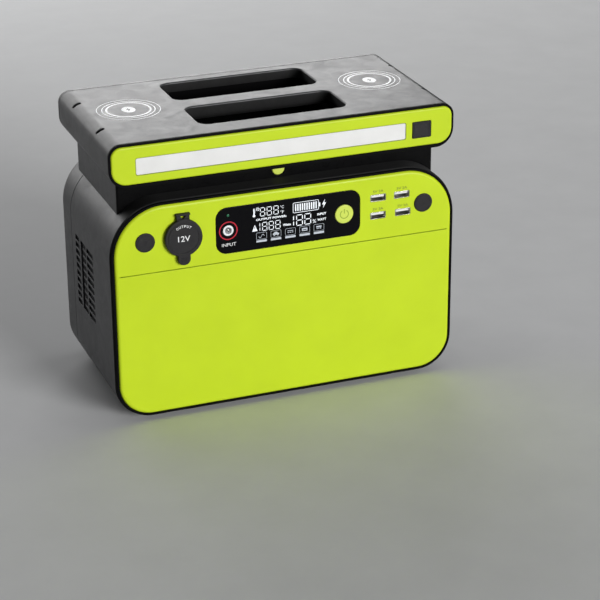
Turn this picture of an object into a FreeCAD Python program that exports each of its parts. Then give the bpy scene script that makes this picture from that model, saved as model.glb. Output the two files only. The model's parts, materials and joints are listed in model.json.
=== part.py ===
import FreeCAD, Part
import math
import os

# Portable power station: a battery case with a control fascia, a neck, and a deck that carries
# a light bar, two wireless charging pads and a two-slot carrying handle.
# Millimetres, +Z up, +X to the right seen from the front, front facing -Y.
# The origin is on the ground, under the middle of the object's box.

Vec = FreeCAD.Vector
X_AXIS = Vec(1, 0, 0)
Y_AXIS = Vec(0, 1, 0)
Z_AXIS = Vec(0, 0, 1)

# ---------------------------------------------------------------- driving dimensions
foot_height = 2.5
foot_radius = 8.0
foot_x = 96.0
foot_y = 50.0

half_width = 143.0          # lower case
wall = 3.0                  # moulded shells
fit_gap = 0.2               # between panels and their frames

face_y = -74.0              # plane of the lime front faces
frame_y = -73.3             # front of the black frames, a little behind the panels
panel_thickness = 3.5
rear_y = 77.2               # back of the rear cover
back_plate_y = 78.0         # outer face of the plate on the rear cover

case_bottom = foot_height
case_top = 181.2
case_low_radius = 29.5
case_high_radius = 43.0
case_rear_radius = 13.0
cover_seam_y = 42.0
panel_split_z = 124.6
seam_half_gap = 0.35
seam_half_length = 136.5
frame_width = 2.6
frame_inset = 0.9           # the case frame stands in from the shell's rounded front edge
frame_lap_y = -70.9         # the shells' outer lips run forward to here round the black frames
frame_spigot_y = -66.0      # and the frames reach back inside the lips to here
frame_lip = 1.6
frame_recess = 9.0          # inner edge of the case's frame, behind the panels
panel_edge_radius = 2.6

neck_half_width = 131.0
neck_front_y = -55.0
neck_rear_y = 60.0
neck_front_thickness = 2.5
neck_boss_x = 110.0
neck_boss_y = (-30.0, 34.0)
neck_boss_radius = 4.0

deck_half_width = 141.0
deck_bottom = 195.0
deck_top = 230.5
deck_low_radius = 15.0
deck_high_radius = 10.0
lamp_panel_half_width = 139.3
lamp_panel_z = (198.0, 228.3)
lamp_panel_radii = (12.0, 8.0)
deck_seam_y = 69.0
deck_rear_radius = 6.0
deck_floor_half_length = 124.0
deck_floor_y = (-62.0, 62.0)
deck_floor_lip = 3.0
corner_slot_y = (-32.0, 35.5)
corner_slot_turn = 26.0     # degrees that the slots lean outward from level

slot_half_length = 61.0
slot_corner_radius = 8.5
front_slot_y = (-51.0, -5.8)
rear_slot_y = (13.0, 59.0)
slot_lip_depth = 8.0
bar_depth = 12.0
bar_edge_radius = 4.0

well_half_length = 65.0
well_wall = 1.8
well_upper_y = (-53.5, 64.5)
well_upper_floor = 204.0
well_lower_y = (-36.0, 56.0)
well_lower_floor = 183.0

pad_x = 101.6
pad_y = 5.3

controls_z = 150.3          # height of the jack, the power button and the screw covers
vent_rows = 10
vent_pitch = 6.1
vent_slot_height = 4.3
vent_wall = 1.1             # the wall is thinner at the slots
vent_centre_z = 94.0
vent_columns = [(-20.5, -2.0), (0.4, 15.5), (19.0, 31.0)]
vent_channel_y = (9.0, 15.0)
vent_filter_y = (-24.0, 34.5)
vent_filter_z = (62.0, 126.0)

socket_x = -85.5
socket_z = 150.8
socket_bore_radius = 10.5   # 12 V accessory socket
socket_mouth_radius = 11.2
socket_tube_radius = 12.6
socket_flange_radius = 14.4
socket_mouth_y = -75.0
socket_liner_y = (-70.5, -44.2)
socket_end_y = -42.0
cap_radius = 15.0
cap_hinge_z = 165.9
cap_hinge_y = -77.6
cap_bead_radius = 0.5       # rounded bead along the strap's fold
cap_outer_y = -78.0

window_x = (-58.6, 61.2)
window_z = (131.4, 169.4)
window_radius = 9.0
window_y = (-74.1, -72.1)

jack_x = -48.5
jack_floor_y = -63.0
status_led_z = 162.8
button_x = 47.6
button_radius = 7.7
screw_cover_x = 115.4
screw_cover_radius = 7.8

usb_width = 13.1
usb_height = 5.7
usb_depth = 13.7
usb_sheet = 0.35
usb_places = [(76.6, 159.6), (96.9, 159.6), (76.6, 144.8), (97.9, 144.8)]

diffuser_x = (-120.0, 99.5)
diffuser_z = (205.4, 218.4)
lamp_switch_x = (105.3, 121.1)
lamp_switch_z = (205.1, 218.3)

release_z = 188.4
release_radius = 5.2

cell_radius = 9.1
cell_length = 65.0
cell_columns = 12
cell_lines = 4
cell_pitch = 19.6
cells_base_z = 9.0
cells_centre_y = -18.0

fan_size = 60.0
fan_depth = 15.0
fan_centre = (5.3, 94.0)    # y and z
fan_outer_x = -138.6

board_thickness = 1.6
inverter_board_z = 84.0
inverter_parts_z = inverter_board_z + board_thickness
inverter_post_x = (-90.0, 0.0, 112.0)
inverter_post_y = 31.5

display_module_x = (-30.0, 36.0)
display_module_z = (134.6, 166.2)
display_board_x = (-57.0, 59.0)
display_board_y = (-65.5, -63.9)
display_board_z = (133.0, 168.0)
display_board_holes = [(-36.0, 137.6), (-36.0, 163.2), (53.0, 137.6), (53.0, 163.2)]
usb_mouth_y = face_y + 0.3
usb_board_y = usb_mouth_y + usb_depth
usb_board_posts = [(66.5, 152.2), (107.0, 152.2)]

cover_screws = [(-104.0, 34.0), (-104.0, 146.0), (104.0, 34.0), (104.0, 146.0), (0.0, 24.0), (0.0, 158.0)]
ac_panel_x = (-62.0, 62.0)
ac_panel_z = (91.0, 145.0)
ac_cutout_x = (-56.0, 56.0)
ac_cutout_z = (97.0, 139.0)
outlet_places = [(-36.0, 118.0), (6.0, 118.0)]
outlet_half_size = (16.0, 17.0)
rocker_place = (42.0, 118.0)
rocker_pin_y = rear_y - 3.2


# ---------------------------------------------------------------- shape helpers
def box(x0, x1, y0, y1, z0, z1):
    return Part.makeBox(x1 - x0, y1 - y0, z1 - z0, Vec(x0, y0, z0))


def rod(axis, centre, radius, start, end):
    """Cylinder along an axis; centre gives the two other coordinates in X, Y, Z order."""
    a, b = centre
    starts = {"x": Vec(start, a, b), "y": Vec(a, start, b), "z": Vec(a, b, start)}
    directions = {"x": X_AXIS, "y": Y_AXIS, "z": Z_AXIS}
    return Part.makeCylinder(radius, end - start, starts[axis], directions[axis])


def ring(axis, centre, outer, inner, start, end):
    hole = rod(axis, centre, inner, start - 1.0, end + 1.0)
    return rod(axis, centre, outer, start, end).cut(hole)


def outline(x_span, z_span, low_radius, high_radius, y):
    """Closed wire in the plane y: a rectangle whose lower and upper corners are rounded."""
    x0, x1 = x_span
    z0, z1 = z_span
    corners = [
        (x1 - low_radius, z0 + low_radius, low_radius, -90.0),
        (x1 - high_radius, z1 - high_radius, high_radius, 0.0),
        (x0 + high_radius, z1 - high_radius, high_radius, 90.0),
        (x0 + low_radius, z0 + low_radius, low_radius, 180.0),
    ]
    arcs = []
    for cx, cz, radius, start in corners:
        points = []
        for turn in (0.0, 45.0, 90.0):
            angle = math.radians(start + turn)
            points.append(Vec(cx + radius * math.cos(angle), y, cz + radius * math.sin(angle)))
        arcs.append(points)
    edges = []
    for index, points in enumerate(arcs):
        edges.append(Part.Arc(*points).toShape())
        following = arcs[(index + 1) % 4][0]
        if points[2].distanceToPoint(following) > 1e-6:
            edges.append(Part.LineSegment(points[2], following).toShape())
    return Part.Wire(edges)


def rounded_block(x_span, z_span, radii, y_span, inset=0.0):
    """Solid along Y with the rounded outline, shrunk all round by inset."""
    x_in = (x_span[0] + inset, x_span[1] - inset)
    z_in = (z_span[0] + inset, z_span[1] - inset)
    low_radius = max(radii[0] - inset, 0.3)
    high_radius = max(radii[1] - inset, 0.3)
    face = Part.Face(outline(x_in, z_in, low_radius, high_radius, y_span[0]))
    return face.extrude(Vec(0, y_span[1] - y_span[0], 0))


def case_block(inset, y0, y1):
    radii = (case_low_radius, case_high_radius)
    return rounded_block((-half_width, half_width), (case_bottom, case_top), radii, (y0, y1), inset)


def deck_block(inset, y0, y1):
    radii = (deck_low_radius, deck_high_radius)
    x_span = (-deck_half_width, deck_half_width)
    return rounded_block(x_span, (deck_bottom, deck_top), radii, (y0, y1), inset)


def lamp_block(grow, y0, y1):
    """Outline of the deck's front panel, grown all round."""
    x_span = (-lamp_panel_half_width, lamp_panel_half_width)
    return rounded_block(x_span, lamp_panel_z, lamp_panel_radii, (y0, y1), -grow)


def edges_in_plane(shape, axis, value):
    """Edges that lie in the plane where the named coordinate has the value."""
    found = []
    for edge in shape.Edges:
        bounds = edge.BoundBox
        low = getattr(bounds, axis + "Min")
        high = getattr(bounds, axis + "Max")
        if abs(low - value) < 1e-3 and abs(high - value) < 1e-3:
            found.append(edge)
    return found


def upright_edges(shape):
    """Straight edges along Z."""
    found = []
    for edge in shape.Edges:
        bounds = edge.BoundBox
        if bounds.XLength < 1e-3 and bounds.YLength < 1e-3:
            found.append(edge)
    return found


def soften(shape, axis, value, radius):
    """Round the edges of a face."""
    return shape.makeFillet(radius, edges_in_plane(shape, axis, value))


def break_edge(shape, axis, value, size):
    """Chamfer the edges of a face."""
    return shape.makeChamfer(size, edges_in_plane(shape, axis, value))


def upright_block(x0, x1, y0, y1, z0, z1, radius):
    """Box whose four upright edges are rounded."""
    block = box(x0, x1, y0, y1, z0, z1)
    return block.makeFillet(radius, upright_edges(block))


def joined(shapes):
    """One solid from touching solids."""
    whole = shapes[0].fuse(shapes[1:])
    return whole.removeSplitter()


def group(shapes):
    """Several separate solids in one part."""
    return Part.makeCompound(shapes)


# ---------------------------------------------------------------- lower case
def vent_cutters(side):
    """Three columns of level slots through one side wall; side is -1 on the left, +1 on the right."""
    x0 = side * (half_width - 5.0)
    x1 = side * (half_width + 5.0)
    low_x = min(x0, x1)
    high_x = max(x0, x1)
    cutters = []
    for row in range(vent_rows):
        z = vent_centre_z + (row - (vent_rows - 1) / 2.0) * vent_pitch
        for y0, y1 in vent_columns:
            slot = box(low_x, high_x, y0, y1, z - vent_slot_height / 2.0, z + vent_slot_height / 2.0)
            ends = []
            for edge in slot.Edges:
                bounds = edge.BoundBox
                if bounds.YLength < 1e-3 and bounds.ZLength < 1e-3:
                    ends.append(edge)
            cutters.append(slot.makeFillet(1.5, ends))
    return cutters


def vent_pocket(side):
    """Hollow behind the slots that leaves a thin grille, with the filter's seat at its bottom."""
    x0 = side * (half_width - vent_wall)
    x1 = side * (half_width - wall - 1.0)
    return box(min(x0, x1), max(x0, x1), *vent_filter_y, *vent_filter_z)


def vent_channel(side):
    """Upright slot that joins the rear ends of the middle column."""
    x0 = side * (half_width - 5.0)
    x1 = side * (half_width + 5.0)
    reach = vent_pitch * (vent_rows - 1) / 2.0
    y0, y1 = vent_channel_y
    return box(min(x0, x1), max(x0, x1), y0, y1, vent_centre_z - reach, vent_centre_z + reach)


def neck_boss_places():
    places = []
    for x in (-neck_boss_x, neck_boss_x):
        for y in neck_boss_y:
            places.append((x, y))
    return places


def case_bosses():
    """Posts moulded on the case: outside on its roof for the neck, inside for the inverter board."""
    inner = case_block(wall - 0.5, face_y, cover_seam_y)
    posts = []
    for place in neck_boss_places():
        post = rod("z", place, neck_boss_radius, case_top - case_high_radius, deck_bottom - 0.1)
        post = post.cut(inner)
        posts.append(post.cut(rod("z", place, 1.6, deck_bottom - 12.0, deck_bottom + 1.0)))
    for x in inverter_post_x:
        posts.append(rod("z", (x, inverter_post_y), 3.5, case_bottom + 1.0, inverter_board_z))
    return posts


def make_case_shell():
    shell = case_block(0.0, frame_lap_y, cover_seam_y)
    shell = soften(shell, "Y", frame_lap_y, 0.8)
    shell = break_edge(shell, "Y", cover_seam_y, 0.5)
    shell = shell.cut(case_block(wall, face_y, cover_seam_y + 1.0))
    shell = shell.cut(case_block(frame_lip, face_y, frame_spigot_y))
    cutters = []
    for side in (-1, 1):
        cutters.extend(vent_cutters(side))
        cutters.append(vent_channel(side))
        cutters.append(vent_pocket(side))
    cutters.append(upright_block(-30.0, 30.0, 8.0, 38.0, case_top - 10.0, case_top + 5.0, 5.0))
    return joined([shell.cut(cutters)] + case_bosses())


def make_front_rim():
    frame = case_block(frame_inset, frame_y, frame_lap_y)
    frame = soften(frame, "Y", frame_y, 0.5)
    frame = joined([frame, case_block(frame_lip, frame_lap_y, frame_spigot_y)])
    frame = frame.cut(case_block(frame_width, face_y - 1.0, face_y + panel_thickness))
    return frame.cut(case_block(frame_recess, face_y - 1.0, frame_spigot_y + 1.0))


def lime_case_panel():
    """Both lime pieces of the lower front before they are parted."""
    blank = case_block(frame_width + fit_gap, face_y, face_y + panel_thickness)
    return soften(blank, "Y", face_y, panel_edge_radius)


def seam_cutter():
    y1 = face_y + panel_thickness + 1.0
    z0 = panel_split_z - seam_half_gap
    return box(-seam_half_length, seam_half_length, face_y - 1.0, y1, z0, panel_split_z + seam_half_gap)


def make_front_panel():
    low = box(-200.0, 200.0, -100.0, 0.0, 0.0, panel_split_z)
    return lime_case_panel().common(low).cut(seam_cutter())


def window_block(inset, y0, y1):
    return rounded_block(window_x, window_z, (window_radius, window_radius), (y0, y1), inset)


def make_control_fascia():
    y0 = face_y - 1.0
    y1 = face_y + panel_thickness + 1.0
    high = box(-200.0, 200.0, -100.0, 0.0, panel_split_z, 260.0)
    fascia = lime_case_panel().common(high).cut(seam_cutter())
    cutters = [
        window_block(-fit_gap, y0, window_y[1]),
        window_block(2.5, y0, y1),
        rod("y", (socket_x, socket_z), socket_tube_radius + 0.15, y0, y1),
    ]
    for side in (-1, 1):
        centre = (side * screw_cover_x, controls_z)
        cutters.append(rod("y", centre, 5.4, y0, face_y + 2.0))
        cutters.append(rod("y", centre, 2.0, y0, y1))
    for x, z in usb_places:
        x_span = (x - usb_width / 2.0 - 0.15, x + usb_width / 2.0 + 0.15)
        z_span = (z - usb_height / 2.0 - 0.15, z + usb_height / 2.0 + 0.15)
        cutters.append(rounded_block(x_span, z_span, (0.9, 0.9), (y0, y1)))
    return fascia.cut(cutters)


def rear_body(inset, y0):
    """Outer form of the rear cover, shrunk by inset, with its rounded back edge."""
    body = case_block(inset, y0, rear_y - inset)
    return soften(body, "Y", rear_y - inset, case_rear_radius - inset)


def make_rear_cover():
    cover = rear_body(0.0, cover_seam_y)
    cover = break_edge(cover, "Y", cover_seam_y, 0.5)
    cover = cover.cut(rear_body(wall, cover_seam_y - 10.0))
    tongue = case_block(wall + 0.2, cover_seam_y - 5.0, cover_seam_y)
    tongue = tongue.cut(case_block(wall + 2.2, cover_seam_y - 6.0, cover_seam_y + 6.0))
    root = case_block(wall - 0.5, cover_seam_y, cover_seam_y + 3.0)
    root = root.cut(case_block(wall + 2.2, cover_seam_y - 6.0, cover_seam_y + 6.0))
    cover = joined([cover, tongue, root])
    cutters = [box(*ac_cutout_x, rear_y - 10.0, rear_y + 2.0, *ac_cutout_z)]
    for x, z in cover_screws:
        cutters.append(rod("y", (x, z), 2.2, rear_y - 10.0, rear_y + 1.0))
        cutters.append(rod("y", (x, z), 4.2, rear_y - 1.6, rear_y + 1.0))
    return cover.cut(cutters)


def cross_recess(x, z, y0, y1):
    """Cross-head driver recess along Y."""
    level = box(x - 2.0, x + 2.0, y0, y1, z - 0.4, z + 0.4)
    upright = box(x - 0.4, x + 0.4, y0, y1, z - 2.0, z + 2.0)
    return [level, upright]


def make_case_screws():
    """Cross-head screws: the rear cover's, and the fascia's under the round covers."""
    screws = []
    for x in (-screw_cover_x, screw_cover_x):
        shank = rod("y", (x, controls_z), 1.8, face_y + 2.0, face_y + 14.0)
        head = rod("y", (x, controls_z), 3.6, face_y + 0.9, face_y + 2.0)
        screw = joined([shank, head])
        screws.append(screw.cut(cross_recess(x, controls_z, face_y, face_y + 1.5)))
    for x, z in cover_screws:
        shank = rod("y", (x, z), 2.0, rear_y - 14.0, rear_y - 1.6)
        head = rod("y", (x, z), 3.9, rear_y - 1.6, rear_y - 0.1)
        screw = joined([shank, head])
        screws.append(screw.cut(cross_recess(x, z, rear_y - 1.0, rear_y + 1.0)))
    return group(screws)


def make_rubber_feet():
    feet = []
    for x in (-foot_x, foot_x):
        for y in (-foot_y, foot_y):
            foot = rod("z", (x, y), foot_radius, 0.0, foot_height)
            feet.append(soften(foot, "Z", 0.0, 1.0))
    return group(feet)


def make_vent_filters():
    """Black mesh sheets that back the slots, seated in the pockets behind them."""
    y0, y1 = vent_filter_y
    z0, z1 = vent_filter_z
    sheets = []
    for side in (-1, 1):
        x0 = side * (half_width - vent_wall - 1.3)
        x1 = side * (half_width - vent_wall - 0.1)
        sheets.append(box(min(x0, x1), max(x0, x1), y0 + 0.2, y1 - 0.2, z0 + 0.2, z1 - 0.2))
    return group(sheets)


# ---------------------------------------------------------------- neck
def make_neck_shell():
    y0 = neck_front_y + neck_front_thickness
    block = box(-neck_half_width, neck_half_width, y0, neck_rear_y, 150.0, 215.0)
    rear_corners = []
    for edge in upright_edges(block):
        if abs(edge.BoundBox.YMin - neck_rear_y) < 1e-3:
            rear_corners.append(edge)
    block = block.makeFillet(5.0, rear_corners)
    inside = upright_block(-neck_half_width + wall, neck_half_width - wall, y0 + 2.0, neck_rear_y - wall,
                           140.0, 220.0, 2.0)
    shell = block.cut(inside)
    trimmed = shell.cut([case_block(-0.12, -90.0, 90.0), deck_block(-0.12, -90.0, 90.0)])
    hole = rod("y", (0.0, release_z), release_radius + 0.3, y0 - 1.0, y0 + 4.0)
    return trimmed.cut(hole)


def make_neck_front():
    y1 = neck_front_y + neck_front_thickness
    plate = upright_block(-neck_half_width, neck_half_width, neck_front_y, y1 + 4.0, 150.0, 215.0, 1.6)
    plate = plate.common(box(-200.0, 200.0, neck_front_y - 1.0, y1, 140.0, 220.0))
    plate = plate.cut([case_block(-0.12, -90.0, 90.0), deck_block(-0.12, -90.0, 90.0)])
    return plate.cut(rod("y", (0.0, release_z), release_radius + 0.3, neck_front_y - 1.0, y1 + 1.0))


def make_release_button():
    cap = rod("y", (0.0, release_z), release_radius, neck_front_y - 0.6, neck_front_y + 6.0)
    cap = soften(cap, "Y", neck_front_y - 0.6, 0.9)
    stem = rod("y", (0.0, release_z), 2.0, neck_front_y + 6.0, neck_front_y + 8.0)
    return joined([cap, stem])


def make_latch_hook():
    """Plate behind the release button, with a nose that holds the deck's floor down."""
    y0 = neck_front_y + 8.0
    plate = box(-6.0, 6.0, y0, y0 + 3.0, 185.0, deck_bottom + 5.6)
    nose = box(-6.0, 6.0, y0 - 3.0, y0, deck_bottom + 3.4, deck_bottom + 5.6)
    return joined([plate, nose])


def make_neck_screws():
    screws = []
    for place in neck_boss_places():
        shank = rod("z", place, 1.5, deck_bottom - 9.0, deck_bottom + wall)
        head = rod("z", place, 3.0, deck_bottom + wall, deck_bottom + wall + 2.0)
        screws.append(joined([shank, head]))
    return group(screws)


# ---------------------------------------------------------------- deck
def slot_cutter(y_span, z0, z1):
    return upright_block(-slot_half_length, slot_half_length, y_span[0], y_span[1], z0, z1,
                         slot_corner_radius)


def corner_slot(side, y):
    """Small oval slot across the rounded upper edge of the deck."""
    cutter = box(-3.9, 3.9, -2.3, 2.3, deck_high_radius - 5.0, deck_high_radius + 4.0)
    cutter = cutter.makeFillet(2.2, upright_edges(cutter))
    cutter.rotate(Vec(0, 0, 0), Y_AXIS, side * corner_slot_turn)
    cutter.translate(Vec(side * (deck_half_width - deck_high_radius), y, deck_top - deck_high_radius))
    return cutter


def make_deck_shell():
    shell = deck_block(0.0, frame_lap_y, deck_seam_y)
    shell = break_edge(shell, "Y", deck_seam_y, 0.4)
    shell = shell.cut(deck_block(frame_lip, face_y, frame_spigot_y))
    hollow = deck_block(wall, face_y, deck_seam_y + 1.0)
    lip = box(-well_half_length, well_half_length, well_upper_y[0], well_upper_y[1],
              deck_top - slot_lip_depth, deck_top)
    bar = box(-slot_half_length - 1.0, slot_half_length + 1.0, front_slot_y[1], rear_slot_y[0],
              deck_top - bar_depth, deck_top)
    lower_edges = []
    for edge in edges_in_plane(bar, "Z", deck_top - bar_depth):
        if edge.BoundBox.YLength < 1e-3:
            lower_edges.append(edge)
    bar = bar.makeFillet(bar_edge_radius, lower_edges)
    shell = shell.cut(hollow.cut([lip, bar]))
    cutters = []
    for y_span in (front_slot_y, rear_slot_y):
        cutters.append(slot_cutter(y_span, deck_top - slot_lip_depth - 6.0, deck_top + 1.0))
    shell = shell.cut(cutters)
    rims = []
    for edge in edges_in_plane(shell, "Z", deck_top):
        bounds = edge.BoundBox
        if bounds.XMin > -slot_half_length - 1.0 and bounds.XMax < slot_half_length + 1.0:
            if bounds.YMin > frame_spigot_y and bounds.YMax < deck_seam_y - 2.0:
                rims.append(edge)
    shell = shell.makeFillet(1.2, rims)
    openings = [floor_block(0.0, deck_bottom - 1.0, deck_bottom + wall + 0.5)]
    for side in (-1, 1):
        for y in corner_slot_y:
            openings.append(corner_slot(side, y))
    return shell.cut(openings)


def floor_block(grow, z0, z1):
    """Outline of the deck's floor plate, grown all round."""
    x = deck_floor_half_length + grow
    return upright_block(-x, x, deck_floor_y[0] - grow, deck_floor_y[1] + grow, z0, z1, 8.0)


def make_deck_floor():
    """Plate that closes the deck below; its lip rests on the shell's inner edge."""
    plate = floor_block(-0.15, deck_bottom, deck_bottom + wall)
    lip = floor_block(deck_floor_lip, deck_bottom + wall, deck_bottom + wall + 1.4)
    inside = floor_block(-2.0, deck_bottom + wall, deck_bottom + wall + 2.0)
    floor = joined([plate, lip.cut(inside)])
    z0 = deck_bottom - 1.0
    z1 = deck_bottom + wall + 1.0
    openings = [
        box(-well_half_length - 0.5, well_half_length + 0.5, well_lower_y[0] - 0.5,
            well_lower_y[1] + 0.5, z0, z1),
        box(-8.0, 8.0, neck_front_y + 6.5, well_lower_y[0] - 0.6, z0, z1),
    ]
    for place in neck_boss_places():
        openings.append(rod("z", place, 1.7, z0, z1))
    return floor.cut(openings)


def make_deck_front_rim():
    frame = deck_block(0.0, frame_y, frame_lap_y)
    frame = soften(frame, "Y", frame_y, 0.6)
    frame = joined([frame, deck_block(frame_lip, frame_lap_y, frame_spigot_y)])
    frame = frame.cut(lamp_block(fit_gap, face_y - 1.0, face_y + panel_thickness))
    return frame.cut(lamp_block(-2.8, face_y - 1.0, frame_spigot_y + 1.0))


def make_lamp_panel():
    y0 = face_y - 1.0
    y1 = face_y + panel_thickness + 1.0
    panel = lamp_block(0.0, face_y, face_y + panel_thickness)
    panel = soften(panel, "Y", face_y, 1.6)
    light = rounded_block(diffuser_x, diffuser_z, (1.5, 1.5), (y0, y1), -0.25)
    switch = rounded_block(lamp_switch_x, lamp_switch_z, (0.8, 0.8), (y0, y1), -0.3)
    return panel.cut([light, switch])


def make_lamp_diffuser():
    front = rounded_block(diffuser_x, diffuser_z, (1.3, 1.3), (face_y + 0.3, face_y + panel_thickness))
    x_span = (diffuser_x[0] - 1.5, diffuser_x[1] + 1.5)
    z_span = (diffuser_z[0] - 1.5, diffuser_z[1] + 1.5)
    y_span = (face_y + panel_thickness, face_y + panel_thickness + 1.2)
    return joined([front, rounded_block(x_span, z_span, (1.5, 1.5), y_span)])


def make_lamp_board():
    y0 = face_y + panel_thickness + 5.5
    return box(-124.0, 124.0, y0, y0 + board_thickness, diffuser_z[0] - 1.0, diffuser_z[1] + 1.0)


def make_lamp_leds():
    leds = []
    z = (diffuser_z[0] + diffuser_z[1]) / 2.0
    y1 = face_y + panel_thickness + 5.5
    count = 24
    pitch = (diffuser_x[1] - diffuser_x[0]) / count
    for index in range(count):
        x = diffuser_x[0] + pitch * (index + 0.5)
        leds.append(box(x - 1.75, x + 1.75, y1 - 0.8, y1, z - 1.4, z + 1.4))
    return group(leds)


def make_lamp_switch():
    cap = rounded_block(lamp_switch_x, lamp_switch_z, (0.8, 0.8), (face_y - 0.5, face_y + 5.0))
    cap = soften(cap, "Y", face_y - 0.5, 0.5)
    x = (lamp_switch_x[0] + lamp_switch_x[1]) / 2.0
    z = (lamp_switch_z[0] + lamp_switch_z[1]) / 2.0
    return joined([cap, rod("y", (x, z), 1.6, face_y + 5.0, face_y + 5.6)])


def make_lamp_switch_base():
    x = (lamp_switch_x[0] + lamp_switch_x[1]) / 2.0
    z = (lamp_switch_z[0] + lamp_switch_z[1]) / 2.0
    y1 = face_y + panel_thickness + 5.5
    return box(x - 3.0, x + 3.0, y1 - 2.0, y1, z - 3.0, z + 3.0)


def make_deck_rear_cap():
    cap = deck_block(0.0, deck_seam_y, rear_y)
    cap = break_edge(cap, "Y", deck_seam_y, 0.4)
    cap = soften(cap, "Y", rear_y, deck_rear_radius)
    cap = cap.cut(deck_block(wall, deck_seam_y - 1.0, rear_y - wall))
    tongue = deck_block(wall + 0.2, deck_seam_y - 3.0, deck_seam_y + 3.0)
    tongue = tongue.cut(deck_block(wall + 1.8, deck_seam_y - 4.0, deck_seam_y + 4.0))
    root = deck_block(wall - 0.5, deck_seam_y, deck_seam_y + 3.0)
    root = root.cut(deck_block(wall + 1.8, deck_seam_y - 4.0, deck_seam_y + 4.0))
    return joined([cap, tongue, root])


def make_grip_well():
    """Stepped tray under the handle slots, open at the top."""
    top = deck_top - slot_lip_depth
    x = well_half_length
    upper = upright_block(-x, x, well_upper_y[0], well_upper_y[1], well_upper_floor, top, 6.0)
    lower = upright_block(-x, x, well_lower_y[0], well_lower_y[1], well_lower_floor,
                          well_upper_floor + 6.0, 6.0)
    t = well_wall
    upper_in = upright_block(-x + t, x - t, well_upper_y[0] + t, well_upper_y[1] - t,
                             well_upper_floor + t, top + 1.0, 5.0)
    lower_in = upright_block(-x + t, x - t, well_lower_y[0] + t, well_lower_y[1] - t,
                             well_lower_floor + t, well_upper_floor + 8.0, 5.0)
    return joined([upper, lower]).cut([upper_in, lower_in])


# ---------------------------------------------------------------- wireless chargers
def make_charging_coils():
    coils = []
    for side in (-1, 1):
        coils.append(ring("z", (side * pad_x, pad_y), 22.0, 9.0, deck_top - wall - 1.8, deck_top - wall))
    return group(coils)


def make_coil_ferrites():
    discs = []
    for side in (-1, 1):
        discs.append(rod("z", (side * pad_x, pad_y), 25.0, deck_top - wall - 2.8, deck_top - wall - 1.8))
    return group(discs)


def charger_board(side):
    x = side * pad_x
    z0 = deck_top - wall - 4.4
    board = box(x - 26.0, x + 26.0, pad_y - 26.0, pad_y + 26.0, z0, z0 + board_thickness)
    chips = []
    for dx, dy, size in ((-10.0, -8.0, 5.0), (6.0, -6.0, 7.0), (12.0, 10.0, 4.0), (-8.0, 12.0, 6.0)):
        chips.append(box(x + dx - size / 2, x + dx + size / 2, pad_y + dy - size / 2,
                         pad_y + dy + size / 2, z0 - 1.8, z0))
    return joined([board] + chips)


def make_charger_boards():
    return group([charger_board(-1), charger_board(1)])


# ---------------------------------------------------------------- controls
def make_display_window():
    window = window_block(0.0, window_y[0], window_y[1])
    window = soften(window, "Y", window_y[0], 0.25)
    holes = [
        rod("y", (button_x, controls_z), button_radius + 0.3, window_y[0] - 1.0, window_y[1] + 1.0),
        rod("y", (jack_x, controls_z), 4.5, window_y[0] - 1.0, window_y[1] + 1.0),
        rod("y", (jack_x, status_led_z), 1.3, window_y[0] - 1.0, window_y[1] + 1.0),
    ]
    return window.cut(holes)


def make_display_module():
    return box(*display_module_x, window_y[1] + 0.1, display_board_y[0] - 0.7, *display_module_z)


def make_display_board():
    board = box(*display_board_x, *display_board_y, *display_board_z)
    y0 = display_board_y[0] - 1.0
    y1 = display_board_y[1] + 1.0
    holes = [rod("y", (jack_x, controls_z), 4.5, y0, y1)]
    for place in display_board_holes:
        holes.append(rod("y", place, 1.2, y0, y1))
    return board.cut(holes)


def make_board_standoffs():
    posts = []
    for place in display_board_holes:
        posts.append(rod("y", place, 2.2, window_y[1] + 0.1, display_board_y[0]))
    for place in usb_board_posts:
        posts.append(rod("y", place, 1.8, face_y + panel_thickness, usb_board_y))
    return group(posts)


def make_power_button():
    cap = rod("y", (button_x, controls_z), button_radius, window_y[0] - 0.7, window_y[1] + 0.6)
    cap = soften(cap, "Y", window_y[0] - 0.7, 0.6)
    skirt = rod("y", (button_x, controls_z), 3.0, window_y[1] + 0.6, window_y[1] + 1.7)
    return joined([cap, skirt])


def make_power_switch():
    z = controls_z
    base_y = display_board_y[0] - 2.9
    base = box(button_x - 3.0, button_x + 3.0, base_y, display_board_y[0], z - 3.0, z + 3.0)
    plunger = rod("y", (button_x, z), 1.7, base_y - 0.5, base_y)
    return joined([base, plunger])


def make_status_led():
    centre = (jack_x, status_led_z)
    base_y = display_board_y[0] - 1.0
    lens = rod("y", centre, 1.15, window_y[0] - 0.1, base_y)
    lens = soften(lens, "Y", window_y[0] - 0.1, 0.5)
    return joined([lens, rod("y", centre, 1.6, base_y, display_board_y[0])])


def make_input_jack():
    centre = (jack_x, controls_z)
    barrel = rod("y", centre, 4.3, window_y[0], jack_floor_y + 5.0)
    barrel = soften(barrel, "Y", window_y[0], 0.3)
    collar = rod("y", centre, 7.0, window_y[1] + 0.1, display_board_y[0] - 0.1)
    jack = joined([barrel, collar])
    return jack.cut(rod("y", centre, 2.75, window_y[0] - 1.0, jack_floor_y))


def make_input_pin():
    pin = rod("y", (jack_x, controls_z), 1.05, window_y[0] + 0.8, jack_floor_y)
    return soften(pin, "Y", window_y[0] + 0.8, 0.4)


def make_screw_covers():
    """Round rubber covers pressed into the fascia over its screws."""
    covers = []
    for side in (-1, 1):
        centre = (side * screw_cover_x, controls_z)
        head = rod("y", centre, screw_cover_radius, face_y - 1.0, face_y)
        head = soften(head, "Y", face_y - 1.0, 0.7)
        covers.append(joined([head, rod("y", centre, 5.2, face_y, face_y + 0.8)]))
    return group(covers)


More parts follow.
